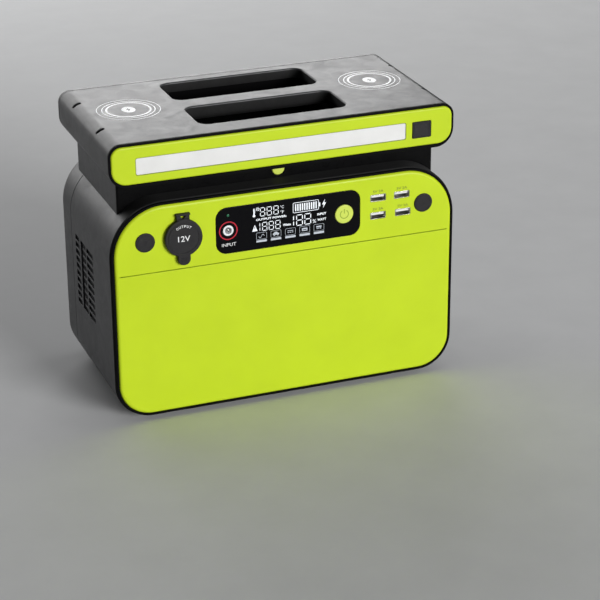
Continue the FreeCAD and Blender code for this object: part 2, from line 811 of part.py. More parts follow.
# ---------------------------------------------------------------- USB ports
def usb_shell(x, z):
    x_span = (x - usb_width / 2.0, x + usb_width / 2.0)
    z_span = (z - usb_height / 2.0, z + usb_height / 2.0)
    can = rounded_block(x_span, z_span, (0.8, 0.8), (usb_mouth_y, usb_board_y))
    bore = rounded_block(x_span, z_span, (0.8, 0.8), (usb_mouth_y - 1.0, usb_board_y - 0.5), usb_sheet)
    return can.cut(bore)


def usb_tongue(x, z):
    y0 = usb_mouth_y + 0.8
    tongue = box(x - 5.5, x + 5.5, y0, usb_board_y - 0.5, z + 0.1, z + 1.9)
    return break_edge(tongue, "Y", y0, 0.4)


def make_usb_shells():
    return group([usb_shell(x, z) for x, z in usb_places])


def make_usb_tongues():
    return group([usb_tongue(x, z) for x, z in usb_places])


def make_usb_board():
    return box(63.5, 110.0, usb_board_y, usb_board_y + board_thickness, 138.0, 167.0)


# ---------------------------------------------------------------- 12 V socket
def make_socket_housing():
    centre = (socket_x, socket_z)
    flange = rod("y", centre, socket_flange_radius, socket_mouth_y, face_y)
    tube = rod("y", centre, socket_tube_radius, face_y, socket_end_y + 3.0)
    body = joined([flange, tube])
    mouth = rod("y", centre, socket_mouth_radius, socket_mouth_y - 1.0, socket_liner_y[0])
    seat = rod("y", centre, socket_bore_radius + 0.9, socket_liner_y[0], socket_end_y)
    contact_hole = rod("y", centre, 1.6, socket_end_y - 1.0, socket_end_y + 4.0)
    return body.cut([mouth, seat, contact_hole])


def make_socket_liner():
    return ring("y", (socket_x, socket_z), socket_bore_radius + 0.8, socket_bore_radius,
                socket_liner_y[0], socket_liner_y[1])


def make_socket_contact():
    centre = (socket_x, socket_z)
    disc = rod("y", centre, 4.0, socket_end_y - 1.8, socket_end_y)
    stem = rod("y", centre, 1.5, socket_end_y, socket_end_y + 7.0)
    return joined([disc, stem])


def make_socket_nut():
    """Hexagonal nut that clamps the socket to the fascia from behind."""
    y0 = face_y + panel_thickness
    points = []
    for corner in range(7):
        angle = math.radians(60.0 * corner)
        points.append(Vec(socket_x + 16.6 * math.cos(angle), y0, socket_z + 16.6 * math.sin(angle)))
    blank = Part.Face(Part.makePolygon(points)).extrude(Vec(0, 5.0, 0))
    hole = rod("y", (socket_x, socket_z), socket_tube_radius + 0.1, y0 - 1.0, y0 + 6.0)
    return blank.cut(hole)


def make_socket_cap():
    """Rubber cap with a shallow spigot, a pull tab below and the strap's free end above."""
    centre = (socket_x, socket_z)
    inner_y = socket_mouth_y - 0.1
    disc = rod("y", centre, cap_radius, cap_outer_y, inner_y)
    pull = rounded_block((socket_x - 5.1, socket_x + 5.1), (socket_z - 22.2, socket_z - 8.0),
                         (5.0, 1.0), (cap_outer_y, inner_y))
    strap = box(socket_x - 5.1, socket_x + 5.1, cap_outer_y + 0.8, inner_y, socket_z + 10.0,
                cap_hinge_z - 0.1)
    cap = joined([disc, pull, strap])
    cap = soften(cap, "Y", cap_outer_y, 0.7)
    spigot = ring("y", centre, 10.2, 8.0, inner_y, inner_y + 3.7)
    return joined([cap, spigot, cap_bead(cap_bead_radius)])


def cap_bead(radius):
    """Round bead along the line where the strap folds."""
    return rod("x", (cap_hinge_y, cap_hinge_z), radius, socket_x - 5.1, socket_x + 5.1)


def make_cap_anchor():
    """Fixed end of the cap's strap, held on the fascia, with its small three-sided hole."""
    inner_y = face_y
    tab = box(socket_x - 5.1, socket_x + 5.1, cap_outer_y + 0.8, inner_y, cap_hinge_z + 0.1, 169.2)
    bar = box(socket_x - 5.7, socket_x + 5.7, cap_outer_y + 0.6, inner_y, 169.2, 170.5)
    anchor = joined([tab, bar])
    y0 = cap_outer_y - 1.0
    corners = [(-2.6, 168.9), (2.6, 168.9), (0.0, 166.2)]
    points = []
    for dx, z in corners + corners[:1]:
        points.append(Vec(socket_x + dx, y0, z))
    hole = Part.Face(Part.makePolygon(points)).extrude(Vec(0, 8.0, 0))
    return anchor.cut([hole, cap_bead(cap_bead_radius + 0.12)])


# ---------------------------------------------------------------- battery
def cell_centres():
    centres = []
    for column in range(cell_columns):
        for line in range(cell_lines):
            x = (column - (cell_columns - 1) / 2.0) * cell_pitch
            y = cells_centre_y + (line - (cell_lines - 1) / 2.0) * cell_pitch
            centres.append((x, y))
    return centres


def cell_holder(z0):
    half_x = cell_columns * cell_pitch / 2.0 + 1.5
    half_y = cell_lines * cell_pitch / 2.0 + 1.5
    plate = upright_block(-half_x, half_x, cells_centre_y - half_y, cells_centre_y + half_y,
                          z0, z0 + 6.0, 4.0)
    holes = []
    for centre in cell_centres():
        holes.append(rod("z", centre, cell_radius + 0.1, z0 - 1.0, z0 + 7.0))
    return plate.cut(holes)


def make_cell_holders():
    return group([cell_holder(cells_base_z + 1.0), cell_holder(cells_base_z + cell_length - 8.0)])


def make_battery_cells():
    cells = []
    for centre in cell_centres():
        can = rod("z", centre, cell_radius, cells_base_z, cells_base_z + cell_length - 0.6)
        button = rod("z", centre, 3.2, cells_base_z + cell_length - 0.6, cells_base_z + cell_length)
        cells.append(joined([can, button]))
    return group(cells)


def make_cell_strips():
    """Nickel strips that join the cells' ends in pairs of columns, below and above."""
    strips = []
    half_y = cell_lines * cell_pitch / 2.0 - 4.0
    for z0 in (cells_base_z - 0.3, cells_base_z + cell_length):
        for column in range(cell_columns // 2):
            x = (column * 2 - (cell_columns - 1) / 2.0 + 0.5) * cell_pitch
            strips.append(box(x - 14.0, x + 14.0, cells_centre_y - half_y, cells_centre_y + half_y,
                              z0, z0 + 0.3))
    return group(strips)


def make_bms_board():
    z0 = cells_base_z + cell_length + 4.0
    top = z0 + board_thickness
    board = box(-60.0, 60.0, -40.0, 4.0, z0, top)
    chips = []
    for index in range(8):
        x = -49.0 + index * 14.0
        chips.append(box(x - 3.5, x + 3.5, -34.0, -25.0, top, top + 1.8))
    return joined([board] + chips)


# ---------------------------------------------------------------- inverter and fan
def make_inverter_board():
    return box(-98.0, 122.0, -44.0, 50.0, inverter_board_z, inverter_parts_z)


def make_inverter_heatsinks():
    """Two finned bars across the board."""
    sinks = []
    z0 = inverter_parts_z
    for y in (-38.0, 26.0):
        bar = box(-88.0, 66.0, y, y + 18.0, z0, z0 + 28.0)
        gaps = []
        for index in range(4):
            gap_y = y + 2.2 + index * 4.0
            gaps.append(box(-89.0, 67.0, gap_y, gap_y + 1.8, z0 + 6.0, z0 + 29.0))
        sinks.append(bar.cut(gaps))
    return group(sinks)


def make_inverter_transformer():
    z0 = inverter_parts_z
    core = box(-40.0, 0.0, -14.0, 20.0, z0, z0 + 30.0)
    winding = upright_block(-34.0, -6.0, -18.0, 24.0, z0 + 5.0, z0 + 25.0, 6.0)
    return joined([core, winding])


def make_inverter_capacitors():
    cans = []
    z0 = inverter_parts_z
    for x, y in ((24.0, 4.0), (44.0, 4.0), (84.0, -20.0), (84.0, 8.0), (108.0, -6.0)):
        can = rod("z", (x, y), 8.0, z0, z0 + 30.0)
        cans.append(soften(can, "Z", z0 + 30.0, 0.8))
    return group(cans)


def make_fan_frame():
    y, z = fan_centre
    half = fan_size / 2.0
    frame = box(fan_outer_x, fan_outer_x + fan_depth, y - half, y + half, z - half, z + half)
    frame = frame.cut(rod("x", (y, z), 28.5, fan_outer_x - 1.0, fan_outer_x + fan_depth + 1.0))
    holes = []
    for dy in (-25.0, 25.0):
        for dz in (-25.0, 25.0):
            place = (y + dy, z + dz)
            holes.append(rod("x", place, 2.1, fan_outer_x - 1.0, fan_outer_x + fan_depth + 1.0))
    frame = frame.cut(holes)
    x1 = fan_outer_x + fan_depth
    hub = rod("x", (y, z), 13.0, x1 - 2.5, x1)
    spokes = []
    for index in range(3):
        spoke = box(x1 - 2.5, x1, y + 10.0, y + 29.0, z - 1.5, z + 1.5)
        spoke.rotate(Vec(0, y, z), X_AXIS, 120.0 * index)
        spokes.append(spoke)
    shaft = rod("x", (y, z), 1.5, fan_outer_x + 3.0, x1 - 2.5)
    return joined([frame, hub, shaft] + spokes)


def make_fan_rotor():
    y, z = fan_centre
    x0 = fan_outer_x + 1.2
    x1 = fan_outer_x + fan_depth - 3.4
    hub = rod("x", (y, z), 12.0, x0, x1)
    hub = soften(hub, "X", x0, 1.5)
    blades = []
    for index in range(7):
        blade = box(-4.6, 4.6, 11.0, 27.3, -0.7, 0.7)
        blade.rotate(Vec(0, 0, 0), Y_AXIS, 32.0)
        blade.translate(Vec((x0 + x1) / 2.0, y, z))
        blade.rotate(Vec(0, y, z), X_AXIS, 360.0 / 7.0 * index)
        blades.append(blade)
    rotor = joined([hub] + blades)
    return rotor.cut(rod("x", (y, z), 1.56, x0 + 1.5, x1 + 1.0))


# ---------------------------------------------------------------- AC outputs on the back
def outlet_slots(x, z, y0, y1):
    """Two blade slots and a round earth hole."""
    return [
        box(x - 7.2, x - 5.3, y0, y1, z - 0.5, z + 7.5),
        box(x + 5.3, x + 7.2, y0, y1, z + 0.3, z + 6.7),
        rod("y", (x, z - 7.0), 2.7, y0, y1),
    ]


def outlet_block(x, z, inset, y0, y1):
    dx, dz = outlet_half_size
    return rounded_block((x - dx, x + dx), (z - dz, z + dz), (6.0, 6.0), (y0, y1), inset)


def make_ac_panel():
    plate = rounded_block(ac_panel_x, ac_panel_z, (5.0, 5.0), (rear_y, back_plate_y))
    plate = soften(plate, "Y", back_plate_y, 0.5)
    cutters = []
    for x, z in outlet_places:
        cutters.append(outlet_block(x, z, -0.15, rear_y - 5.0, back_plate_y + 1.0))
    x, z = rocker_place
    cutters.append(box(x - 7.2, x + 7.2, rear_y - 5.0, back_plate_y + 1.0, z - 10.2, z + 10.2))
    return plate.cut(cutters)


def make_ac_outlets():
    outlets = []
    for x, z in outlet_places:
        body = outlet_block(x, z, 0.0, rear_y - 22.0, back_plate_y)
        body = soften(body, "Y", back_plate_y, 0.4)
        outlets.append(body.cut(outlet_slots(x, z, rear_y - 17.0, back_plate_y + 1.0)))
    return group(outlets)


def make_ac_switch_base():
    """Open-fronted body of the rocker switch with the ears that carry its pin."""
    x, z = rocker_place
    body = box(x - 7.0, x + 7.0, rear_y - 16.0, back_plate_y - 0.1, z - 10.0, z + 10.0)
    well = box(x - 5.8, x + 5.8, rear_y - 11.0, back_plate_y + 1.0, z - 8.8, z + 8.8)
    return body.cut([well, rod("x", (rocker_pin_y, z), 1.06, x - 8.0, x + 8.0)])


def make_ac_rocker():
    """Rocker key on its pin: a shallow V, one half in and one half out."""
    x, z = rocker_place
    y = rocker_pin_y
    points = []
    for dy, dz in ((-2.6, -3.0), (0.6, -7.8), (3.9, -7.6), (2.2, 0.0), (0.3, 7.9), (-2.6, 7.4)):
        points.append(Vec(x - 5.4, y + dy, z + dz))
    points.append(points[0])
    key = Part.Face(Part.makePolygon(points)).extrude(Vec(10.8, 0, 0))
    return joined([key, rod("x", (y, z), 1.0, x - 6.8, x + 6.8)])


# ---------------------------------------------------------------- build
makers = [
    make_case_shell, make_front_rim, make_front_panel, make_control_fascia, make_rear_cover,
    make_case_screws, make_rubber_feet, make_vent_filters,
    make_neck_shell, make_neck_front, make_neck_screws, make_release_button, make_latch_hook,
    make_deck_shell, make_deck_floor, make_deck_front_rim, make_deck_rear_cap, make_grip_well,
    make_lamp_panel, make_lamp_diffuser, make_lamp_board, make_lamp_leds,
    make_lamp_switch, make_lamp_switch_base,
    make_charging_coils, make_coil_ferrites, make_charger_boards,
    make_display_window, make_display_module, make_display_board, make_board_standoffs,
    make_power_button, make_power_switch, make_status_led, make_input_jack, make_input_pin,
    make_screw_covers, make_usb_shells, make_usb_tongues, make_usb_board,
    make_socket_housing, make_socket_liner, make_socket_contact, make_socket_nut,
    make_socket_cap, make_cap_anchor,
    make_cell_holders, make_battery_cells, make_cell_strips, make_bms_board,
    make_inverter_board, make_inverter_heatsinks, make_inverter_transformer,
    make_inverter_capacitors, make_fan_frame, make_fan_rotor,
    make_ac_panel, make_ac_outlets, make_ac_switch_base, make_ac_rocker,
]


def main():
    """Write each part to the file named after it."""
    os.makedirs("parts", exist_ok=True)
    for maker in makers:
        name = maker.__name__[len("make_"):]
        shape = maker()
        if not shape.isValid():
            print("not valid:", name)
        shape.exportStep(os.path.join("parts", name + ".step"))


main()
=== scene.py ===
import json
import math

import bpy
from mathutils import Matrix, Vector


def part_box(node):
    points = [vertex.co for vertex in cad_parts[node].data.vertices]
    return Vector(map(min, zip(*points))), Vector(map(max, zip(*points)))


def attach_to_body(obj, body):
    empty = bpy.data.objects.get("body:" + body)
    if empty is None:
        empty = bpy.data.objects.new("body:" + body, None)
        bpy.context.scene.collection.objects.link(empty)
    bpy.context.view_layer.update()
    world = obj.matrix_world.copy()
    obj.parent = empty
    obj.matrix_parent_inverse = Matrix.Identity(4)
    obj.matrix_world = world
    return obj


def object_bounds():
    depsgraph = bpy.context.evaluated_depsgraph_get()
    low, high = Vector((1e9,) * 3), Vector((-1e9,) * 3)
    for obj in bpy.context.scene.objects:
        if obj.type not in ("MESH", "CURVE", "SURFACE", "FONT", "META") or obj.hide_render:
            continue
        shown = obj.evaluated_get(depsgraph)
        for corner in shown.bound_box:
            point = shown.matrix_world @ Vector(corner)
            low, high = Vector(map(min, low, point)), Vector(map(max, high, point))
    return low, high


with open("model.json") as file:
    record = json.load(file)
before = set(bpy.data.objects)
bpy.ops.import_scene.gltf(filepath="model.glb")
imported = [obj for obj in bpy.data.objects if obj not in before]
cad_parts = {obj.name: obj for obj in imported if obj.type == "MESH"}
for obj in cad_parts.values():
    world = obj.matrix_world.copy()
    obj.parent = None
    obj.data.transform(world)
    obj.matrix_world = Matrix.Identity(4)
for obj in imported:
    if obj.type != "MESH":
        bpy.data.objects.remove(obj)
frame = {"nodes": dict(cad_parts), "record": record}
cad_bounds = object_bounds()

# Drawn outlines and sizes are in millimetres, and MM turns them into metres. Boxes, points and the
# studio are in metres, as in the frame.
MM = 0.001
PRINT_HEIGHT = 0.05         # ink and lit segments stand this far off their surface
ROOT_DEPTH = 0.03           # and reach this far into it

# Each surface that carries graphics: its right, its up and its outward direction.
FACINGS = {
    "front": (Vector((1, 0, 0)), Vector((0, 0, 1)), Vector((0, -1, 0))),
    "top": (Vector((1, 0, 0)), Vector((0, 1, 0)), Vector((0, 0, 1))),
    "rear": (Vector((-1, 0, 0)), Vector((0, 0, 1)), Vector((0, 1, 0))),
}


# ---------------------------------------------------------------- materials
class Look:
    """A Principled material whose pattern nodes all read the part's own coordinates."""

    def __init__(self, name, roughness, metallic=0.0, coat=0.0, specular=0.5):
        self.material = bpy.data.materials.new(name)
        self.material.use_nodes = True
        self.tree = self.material.node_tree
        self.shader = self.tree.nodes["Principled BSDF"]
        self.shader.inputs["Roughness"].default_value = roughness
        self.shader.inputs["Metallic"].default_value = metallic
        self.shader.inputs["Coat Weight"].default_value = coat
        self.shader.inputs["Specular IOR Level"].default_value = specular
        self.place = self.add("ShaderNodeTexCoord").outputs["Object"]

    def add(self, kind, settings=None, **values):
        """New node; settings are its properties, and values its inputs, as numbers or sockets."""
        node = self.tree.nodes.new(kind)
        for key, value in (settings or {}).items():
            setattr(node, key, value)
        for key, value in values.items():
            self.feed(node.inputs[key.replace("_", " ")], value)
        return node

    def feed(self, socket, value):
        if isinstance(value, bpy.types.NodeSocket):
            self.tree.links.new(value, socket)
        else:
            socket.default_value = value

    def stretched(self, scale):
        """The part's coordinates scaled by three factors."""
        node = self.add("ShaderNodeVectorMath", {"operation": "MULTIPLY"})
        self.feed(node.inputs[0], self.place)
        self.feed(node.inputs[1], scale)
        return node.outputs[0]

    def noise(self, size_mm, detail=2.0, rough=0.5, distortion=0.0, stretch=None):
        """Cloudy pattern from 0 to 1 whose features are about size_mm across."""
        vector = self.stretched(stretch) if stretch else self.place
        node = self.add("ShaderNodeTexNoise", Vector=vector, Scale=1.0 / (size_mm * MM), Detail=detail,
                        Roughness=rough, Distortion=distortion)
        return node.outputs["Fac"]

    def cells(self, size_mm, feature="F1"):
        node = self.add("ShaderNodeTexVoronoi", {"feature": feature}, Vector=self.place,
                        Scale=1.0 / (size_mm * MM))
        return node.outputs["Distance"]

    def waves(self, pitch_mm, axis):
        """Parallel lines across one axis, pitch_mm apart."""
        settings = {"wave_type": "BANDS", "bands_direction": axis, "wave_profile": "SIN"}
        turns = 2.0 * math.pi / 20.0        # at scale 1 the node repeats every 2 pi / 20 units
        node = self.add("ShaderNodeTexWave", settings, Vector=self.place,
                        Scale=turns / (pitch_mm * MM))
        return node.outputs["Fac"]

    def remap(self, value, low, high, to_low=0.0, to_high=1.0):
        node = self.add("ShaderNodeMapRange", Value=value, From_Min=low, From_Max=high,
                        To_Min=to_low, To_Max=to_high)
        return node.outputs["Result"]

    def maths(self, operation, a, b=None):
        node = self.add("ShaderNodeMath", {"operation": operation})
        self.feed(node.inputs[0], a)
        if b is not None:
            self.feed(node.inputs[1], b)
        return node.outputs[0]

    def coordinate(self, axis):
        node = self.add("ShaderNodeSeparateXYZ", Vector=self.place)
        return node.outputs[axis]

    def blend(self, factor, a, b):
        """Colour between a and b by the factor."""
        node = self.add("ShaderNodeMix", {"data_type": "RGBA"})
        self.feed(node.inputs["Factor"], factor)
        self.feed(node.inputs[6], a)
        self.feed(node.inputs[7], b)
        return node.outputs[2]

    def edges(self, radius_mm):
        """Normal rounded over sharp edges, and a mask that is 1 along them."""
        flat_dot = 0.995            # the two normals' dot product where a face is flat
        bent_dot = 0.86             # and where its edge is fully rounded
        soft = self.add("ShaderNodeBevel", {"samples": 4}, Radius=radius_mm * MM).outputs["Normal"]
        flat = self.add("ShaderNodeNewGeometry").outputs["Normal"]
        dot = self.add("ShaderNodeVectorMath", {"operation": "DOT_PRODUCT"})
        self.feed(dot.inputs[0], soft)
        self.feed(dot.inputs[1], flat)
        return soft, self.remap(dot.outputs["Value"], flat_dot, bent_dot)

    def bump(self, height, depth_mm, normal=None):
        node = self.add("ShaderNodeBump", Height=height, Distance=depth_mm * MM, Strength=1.0)
        if normal is not None:
            self.feed(node.inputs["Normal"], normal)
        return node.outputs["Normal"]

    def finish(self, color=None, roughness=None, normal=None):
        if color is not None:
            self.feed(self.shader.inputs["Base Color"], color)
        if roughness is not None:
            self.feed(self.shader.inputs["Roughness"], roughness)
        if normal is not None:
            self.feed(self.shader.inputs["Normal"], normal)
        return self.material


def shade(color, factor):
    """The colour times a factor, as RGBA."""
    return tuple(min(1.0, part * factor) for part in color[:3]) + (1.0,)


# Black of the painted shade laid on plastic where shade falls, two tones mixed by a fine grain.
PAINTED_SHADE_DARK = (0.003, 0.003, 0.003, 1.0)
PAINTED_SHADE_PALE = (0.009, 0.009, 0.0095, 1.0)


def moulded(name, color, roughness, grain=0.45, depth=0.012, mottle=0.06, wear=1.25, specular=0.5,
            edge=0.35, painted_shade=None):
    """Injection-moulded plastic: fine spark texture, faint flow mottling, handled and rubbed edges.

    The last argument is a function of the look that gives the mask where black painted shade covers the
    plastic.
    """
    look = Look(name, roughness, specular=specular)
    fine = look.noise(grain, detail=3.0, rough=0.6)
    coarse = look.cells(grain * 2.6)
    height = look.maths("ADD", fine, look.maths("MULTIPLY", coarse, 0.35))
    normal, edge_mask = look.edges(edge)
    clouds = look.noise(38.0, detail=4.0, rough=0.6)
    smears = look.noise(16.0, detail=5.0, rough=0.65, distortion=1.2)
    tone = look.maths("ADD", look.maths("MULTIPLY", clouds, 0.6), look.maths("MULTIPLY", fine, 0.4))
    body = look.blend(look.remap(tone, 0.35, 0.65), shade(color, 1.0 - mottle), shade(color, 1.0 + mottle))
    scuffs = look.remap(look.noise(3.0, detail=6.0, rough=0.75), 0.42, 0.66)
    worn = look.maths("MULTIPLY", edge_mask, scuffs)
    body = look.blend(worn, body, shade(color, wear))
    gloss = look.remap(smears, 0.3, 0.7, roughness - 0.05, roughness + 0.05)
    gloss = look.maths("SUBTRACT", gloss, look.maths("MULTIPLY", worn, 0.06))
    # Painted shade: black and rougher where the mask is 1.
    if painted_shade:
        shaded = painted_shade(look)
        body = look.blend(shaded, body, look.blend(fine, PAINTED_SHADE_DARK, PAINTED_SHADE_PALE))
        gloss = look.maths("ADD", gloss, look.maths("MULTIPLY", shaded, 0.45))
    return look.finish(body, gloss, look.bump(height, depth, normal))


def handle_slot_shade(look):
    """Mask of the painted shade on the handle slots' walls, fading in from 1.0 to 1.4 mm under the deck's
    top.
    """
    low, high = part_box("grip_well")
    middle = (low + high) / 2.0
    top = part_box("deck_shell")[1].z
    across = look.maths("ABSOLUTE", look.maths("SUBTRACT", look.coordinate("X"), middle.x))
    along = look.maths("ABSOLUTE", look.maths("SUBTRACT", look.coordinate("Y"), middle.y))
    inside = look.maths("LESS_THAN", across, (high.x - low.x) / 2.0)
    inside = look.maths("MULTIPLY", inside, look.maths("LESS_THAN", along, (high.y - low.y) / 2.0))
    below = look.remap(look.coordinate("Z"), top - 1.0 * MM, top - 1.4 * MM)
    return look.maths("MULTIPLY", inside, below)


def front_edge_and_ledge_shade(look):
    """Mask of the painted shade on the case's front edge beside its frame, and on the ledge before the
    neck, under the deck.

    The edge's mask ends 1.0 to 1.3 mm behind the case's front. The ledge's fades out over 7 mm at the
    ends of neck_front, and starts 4 mm under its bottom.
    """
    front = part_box("case_shell")[0].y
    neck_low, neck_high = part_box("neck_front")
    edge = look.remap(look.coordinate("Y"), front + 1.3 * MM, front + 1.0 * MM)
    across = look.maths("ABSOLUTE", look.coordinate("X"))
    ledge = look.remap(across, neck_high.x + 1.0 * MM, neck_high.x - 6.0 * MM)
    ledge = look.maths("MULTIPLY", ledge, look.maths("LESS_THAN", look.coordinate("Y"), neck_high.y))
    above = look.maths("GREATER_THAN", look.coordinate("Z"), neck_low.z - 4.0 * MM)
    return look.maths("MAXIMUM", edge, look.maths("MULTIPLY", ledge, above))


def glossy(name, color, roughness, ripple=0.004, specular=0.5, coat=0.0, mottle=0.03, edge=0.3,
           edge_highlight=0.3):
    """Smooth moulded plastic: long shallow ripples, faint handling marks, very fine scratches.

    Its edges carry a painted highlight, paler than the body: edge is its width in millimetres, and the
    argument after it how strong it is.
    """
    look = Look(name, roughness, coat=coat, specular=specular)
    look.shader.inputs["Coat Roughness"].default_value = 0.06
    normal, edge_mask = look.edges(edge)
    peel = look.noise(2.2, detail=1.0)
    clouds = look.noise(30.0, detail=3.0)
    speckle = look.noise(0.5, detail=2.0)
    tone = look.maths("ADD", look.maths("MULTIPLY", clouds, 0.7), look.maths("MULTIPLY", speckle, 0.3))
    body = look.blend(look.remap(tone, 0.35, 0.65), shade(color, 1.0 - mottle), shade(color, 1.0 + mottle))
    # Painted highlight along the edges.
    body = look.blend(look.maths("MULTIPLY", edge_mask, edge_highlight), body, shade(color, 1.2))
    marks = look.noise(12.0, detail=6.0, rough=0.7, distortion=1.5)
    lines = look.noise(0.4, detail=3.0, stretch=(1.0, 1.0, 0.04))
    gloss = look.remap(marks, 0.35, 0.7, roughness - 0.04, roughness + 0.07)
    gloss = look.maths("ADD", gloss, look.remap(lines, 0.62, 0.75, 0.0, 0.05))
    return look.finish(body, gloss, look.bump(peel, ripple, normal))


def rubbery(name, color, roughness=0.62):
    """Moulded rubber: close matt grain, paler bloom and a little dust."""
    look = Look(name, roughness, specular=0.3)
    normal, edge_mask = look.edges(0.4)
    grain = look.noise(0.35, detail=4.0, rough=0.7)
    dust = look.remap(look.noise(1.1, detail=6.0, rough=0.8), 0.58, 0.72)
    bloom = look.remap(look.noise(9.0, detail=4.0), 0.35, 0.7)
    body = look.blend(bloom, shade(color, 0.88), shade(color, 1.15))
    body = look.blend(look.maths("MULTIPLY", dust, 0.25), body, shade((0.22, 0.21, 0.2), 1.0))
    body = look.blend(look.maths("MULTIPLY", edge_mask, 0.4), body, shade(color, 1.6))
    gloss = look.remap(grain, 0.3, 0.7, roughness - 0.08, roughness + 0.1)
    return look.finish(body, gloss, look.bump(grain, 0.03, normal))


def brushed(name, color, roughness, stretch=(0.05, 1.0, 1.0), depth=0.006):
    """Rolled or brushed metal with lines along one axis."""
    look = Look(name, roughness, metallic=1.0)
    normal, edge_mask = look.edges(0.2)
    lines = look.noise(0.25, detail=4.0, rough=0.7, stretch=stretch)
    tarnish = look.noise(5.0, detail=5.0, rough=0.65)
    body = look.blend(look.remap(tarnish, 0.3, 0.75), shade(color, 0.82), shade(color, 1.06))
    body = look.blend(look.maths("MULTIPLY", edge_mask, 0.5), body, shade(color, 1.25))
    gloss = look.remap(lines, 0.3, 0.7, roughness - 0.08, roughness + 0.12)
    return look.finish(body, gloss, look.bump(lines, depth, normal))


def circuit_board(name, color):
    """Solder mask over copper tracks, with tinned pads."""
    look = Look(name, 0.38, coat=0.3)
    normal, edge_mask = look.edges(0.2)
    tracks = look.remap(look.cells(2.4, "DISTANCE_TO_EDGE"), 0.05, 0.02)
    pads = look.remap(look.cells(3.1), 0.19, 0.15)
    grain = look.noise(0.6, detail=3.0)
    body = look.blend(grain, shade(color, 0.75), shade(color, 1.1))
    body = look.blend(look.maths("MULTIPLY", tracks, 0.8), body, shade(color, 2.1))
    body = look.blend(pads, body, (0.62, 0.6, 0.5, 1.0))
    body = look.blend(look.maths("MULTIPLY", edge_mask, 0.8), body, (0.42, 0.36, 0.2, 1.0))
    height = look.maths("ADD", tracks, look.maths("MULTIPLY", pads, 0.8))
    return look.finish(body, look.remap(grain, 0.3, 0.7, 0.3, 0.45), look.bump(height, 0.04, normal))


def wound_copper(name, color):
    """Enamelled wire wound flat about the charging pads' axes."""
    look = Look(name, 0.3, metallic=1.0)
    x = look.coordinate("X")
    y = look.coordinate("Y")
    low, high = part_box("charging_coils")
    coil_radius = 22.0 * MM
    wire_pitch = 0.9 * MM
    across = look.maths("SUBTRACT", look.maths("ABSOLUTE", x), high.x - coil_radius)
    along = look.maths("SUBTRACT", y, (low.y + high.y) / 2.0)
    across_squared = look.maths("MULTIPLY", across, across)
    along_squared = look.maths("MULTIPLY", along, along)
    radius = look.maths("SQRT", look.maths("ADD", across_squared, along_squared))
    turns = look.maths("SINE", look.maths("MULTIPLY", radius, 2.0 * math.pi / wire_pitch))
    lift = look.remap(turns, -1.0, 1.0)
    stain = look.noise(2.5, detail=4.0)
    # Painted shade between the wire turns: darker where the turns dip.
    body = look.blend(look.remap(lift, 0.0, 0.6), shade(color, 0.25), shade(color, 1.0))
    body = look.blend(look.maths("MULTIPLY", stain, 0.4), body, shade(color, 0.6))
    return look.finish(body, look.remap(stain, 0.3, 0.7, 0.22, 0.4), look.bump(lift, 0.2))


def ferrite_like(name, color):
    """Pressed and sintered grey body with open grain."""
    look = Look(name, 0.55, specular=0.4)
    normal, edge_mask = look.edges(0.4)
    grain = look.noise(0.3, detail=5.0, rough=0.8)
    pits = look.remap(look.cells(1.0), 0.12, 0.05)
    body = look.blend(look.remap(grain, 0.3, 0.7), shade(color, 0.8), shade(color, 1.5))
    body = look.blend(pits, body, shade(color, 0.4))
    body = look.blend(look.maths("MULTIPLY", edge_mask, 0.6), body, shade(color, 2.2))
    return look.finish(body, look.remap(grain, 0.3, 0.7, 0.45, 0.7), look.bump(grain, 0.05, normal))


def laminated(name, color):
    """Stacked core sheets, seen as fine lines round the transformer."""
    look = Look(name, 0.5, specular=0.5)
    normal, edge_mask = look.edges(0.5)
    sheets = look.waves(0.7, "Y")
    varnish = look.noise(6.0, detail=5.0)
    body = look.blend(sheets, shade(color, 0.5), shade(color, 1.5))
    body = look.blend(look.remap(varnish, 0.55, 0.75, 0.0, 0.6), body, (0.16, 0.08, 0.03, 1.0))
    body = look.blend(look.maths("MULTIPLY", edge_mask, 0.5), body, shade(color, 2.0))
    return look.finish(body, look.remap(varnish, 0.3, 0.7, 0.35, 0.6), look.bump(sheets, 0.12, normal))


def woven_mesh(name, color):
    """Dust filter: two sets of crossing black threads."""
    look = Look(name, 0.7, specular=0.25)
    across = look.waves(1.1, "Y")
    upward = look.waves(1.1, "Z")
    weave = look.maths("MAXIMUM", look.remap(across, 0.55, 0.9), look.remap(upward, 0.55, 0.9))
    lint = look.remap(look.noise(2.0, detail=5.0), 0.6, 0.75)
    body = look.blend(weave, shade(color, 0.15), shade(color, 1.6))
    body = look.blend(look.maths("MULTIPLY", lint, 0.25), body, (0.08, 0.08, 0.08, 1.0))
    return look.finish(body, look.remap(weave, 0.0, 1.0, 0.9, 0.55), look.bump(weave, 0.25))


def cell_wrap(name, color):
    """Shrink wrap over the cans: a white ring at the top end and a printed band."""
    low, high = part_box("battery_cells")
    look = Look(name, 0.32, coat=0.4)
    normal, edge_mask = look.edges(0.4)
    height = look.coordinate("Z")
    top = look.remap(height, high.z - 1.6 * MM, high.z - 1.5 * MM)
    band = look.remap(height, low.z + 8.0 * MM, low.z + 8.2 * MM)
    wrinkles = look.noise(1.6, detail=4.0, stretch=(1.0, 1.0, 0.25))
    body = look.blend(look.remap(wrinkles, 0.3, 0.7), shade(color, 0.85), shade(color, 1.15))
    body = look.blend(band, shade(color, 0.35), body)
    body = look.blend(top, body, (0.75, 0.74, 0.7, 1.0))
    body = look.blend(look.maths("MULTIPLY", edge_mask, 0.3), body, shade(color, 2.0))
    return look.finish(body, look.remap(wrinkles, 0.3, 0.7, 0.25, 0.4), look.bump(wrinkles, 0.05, normal))


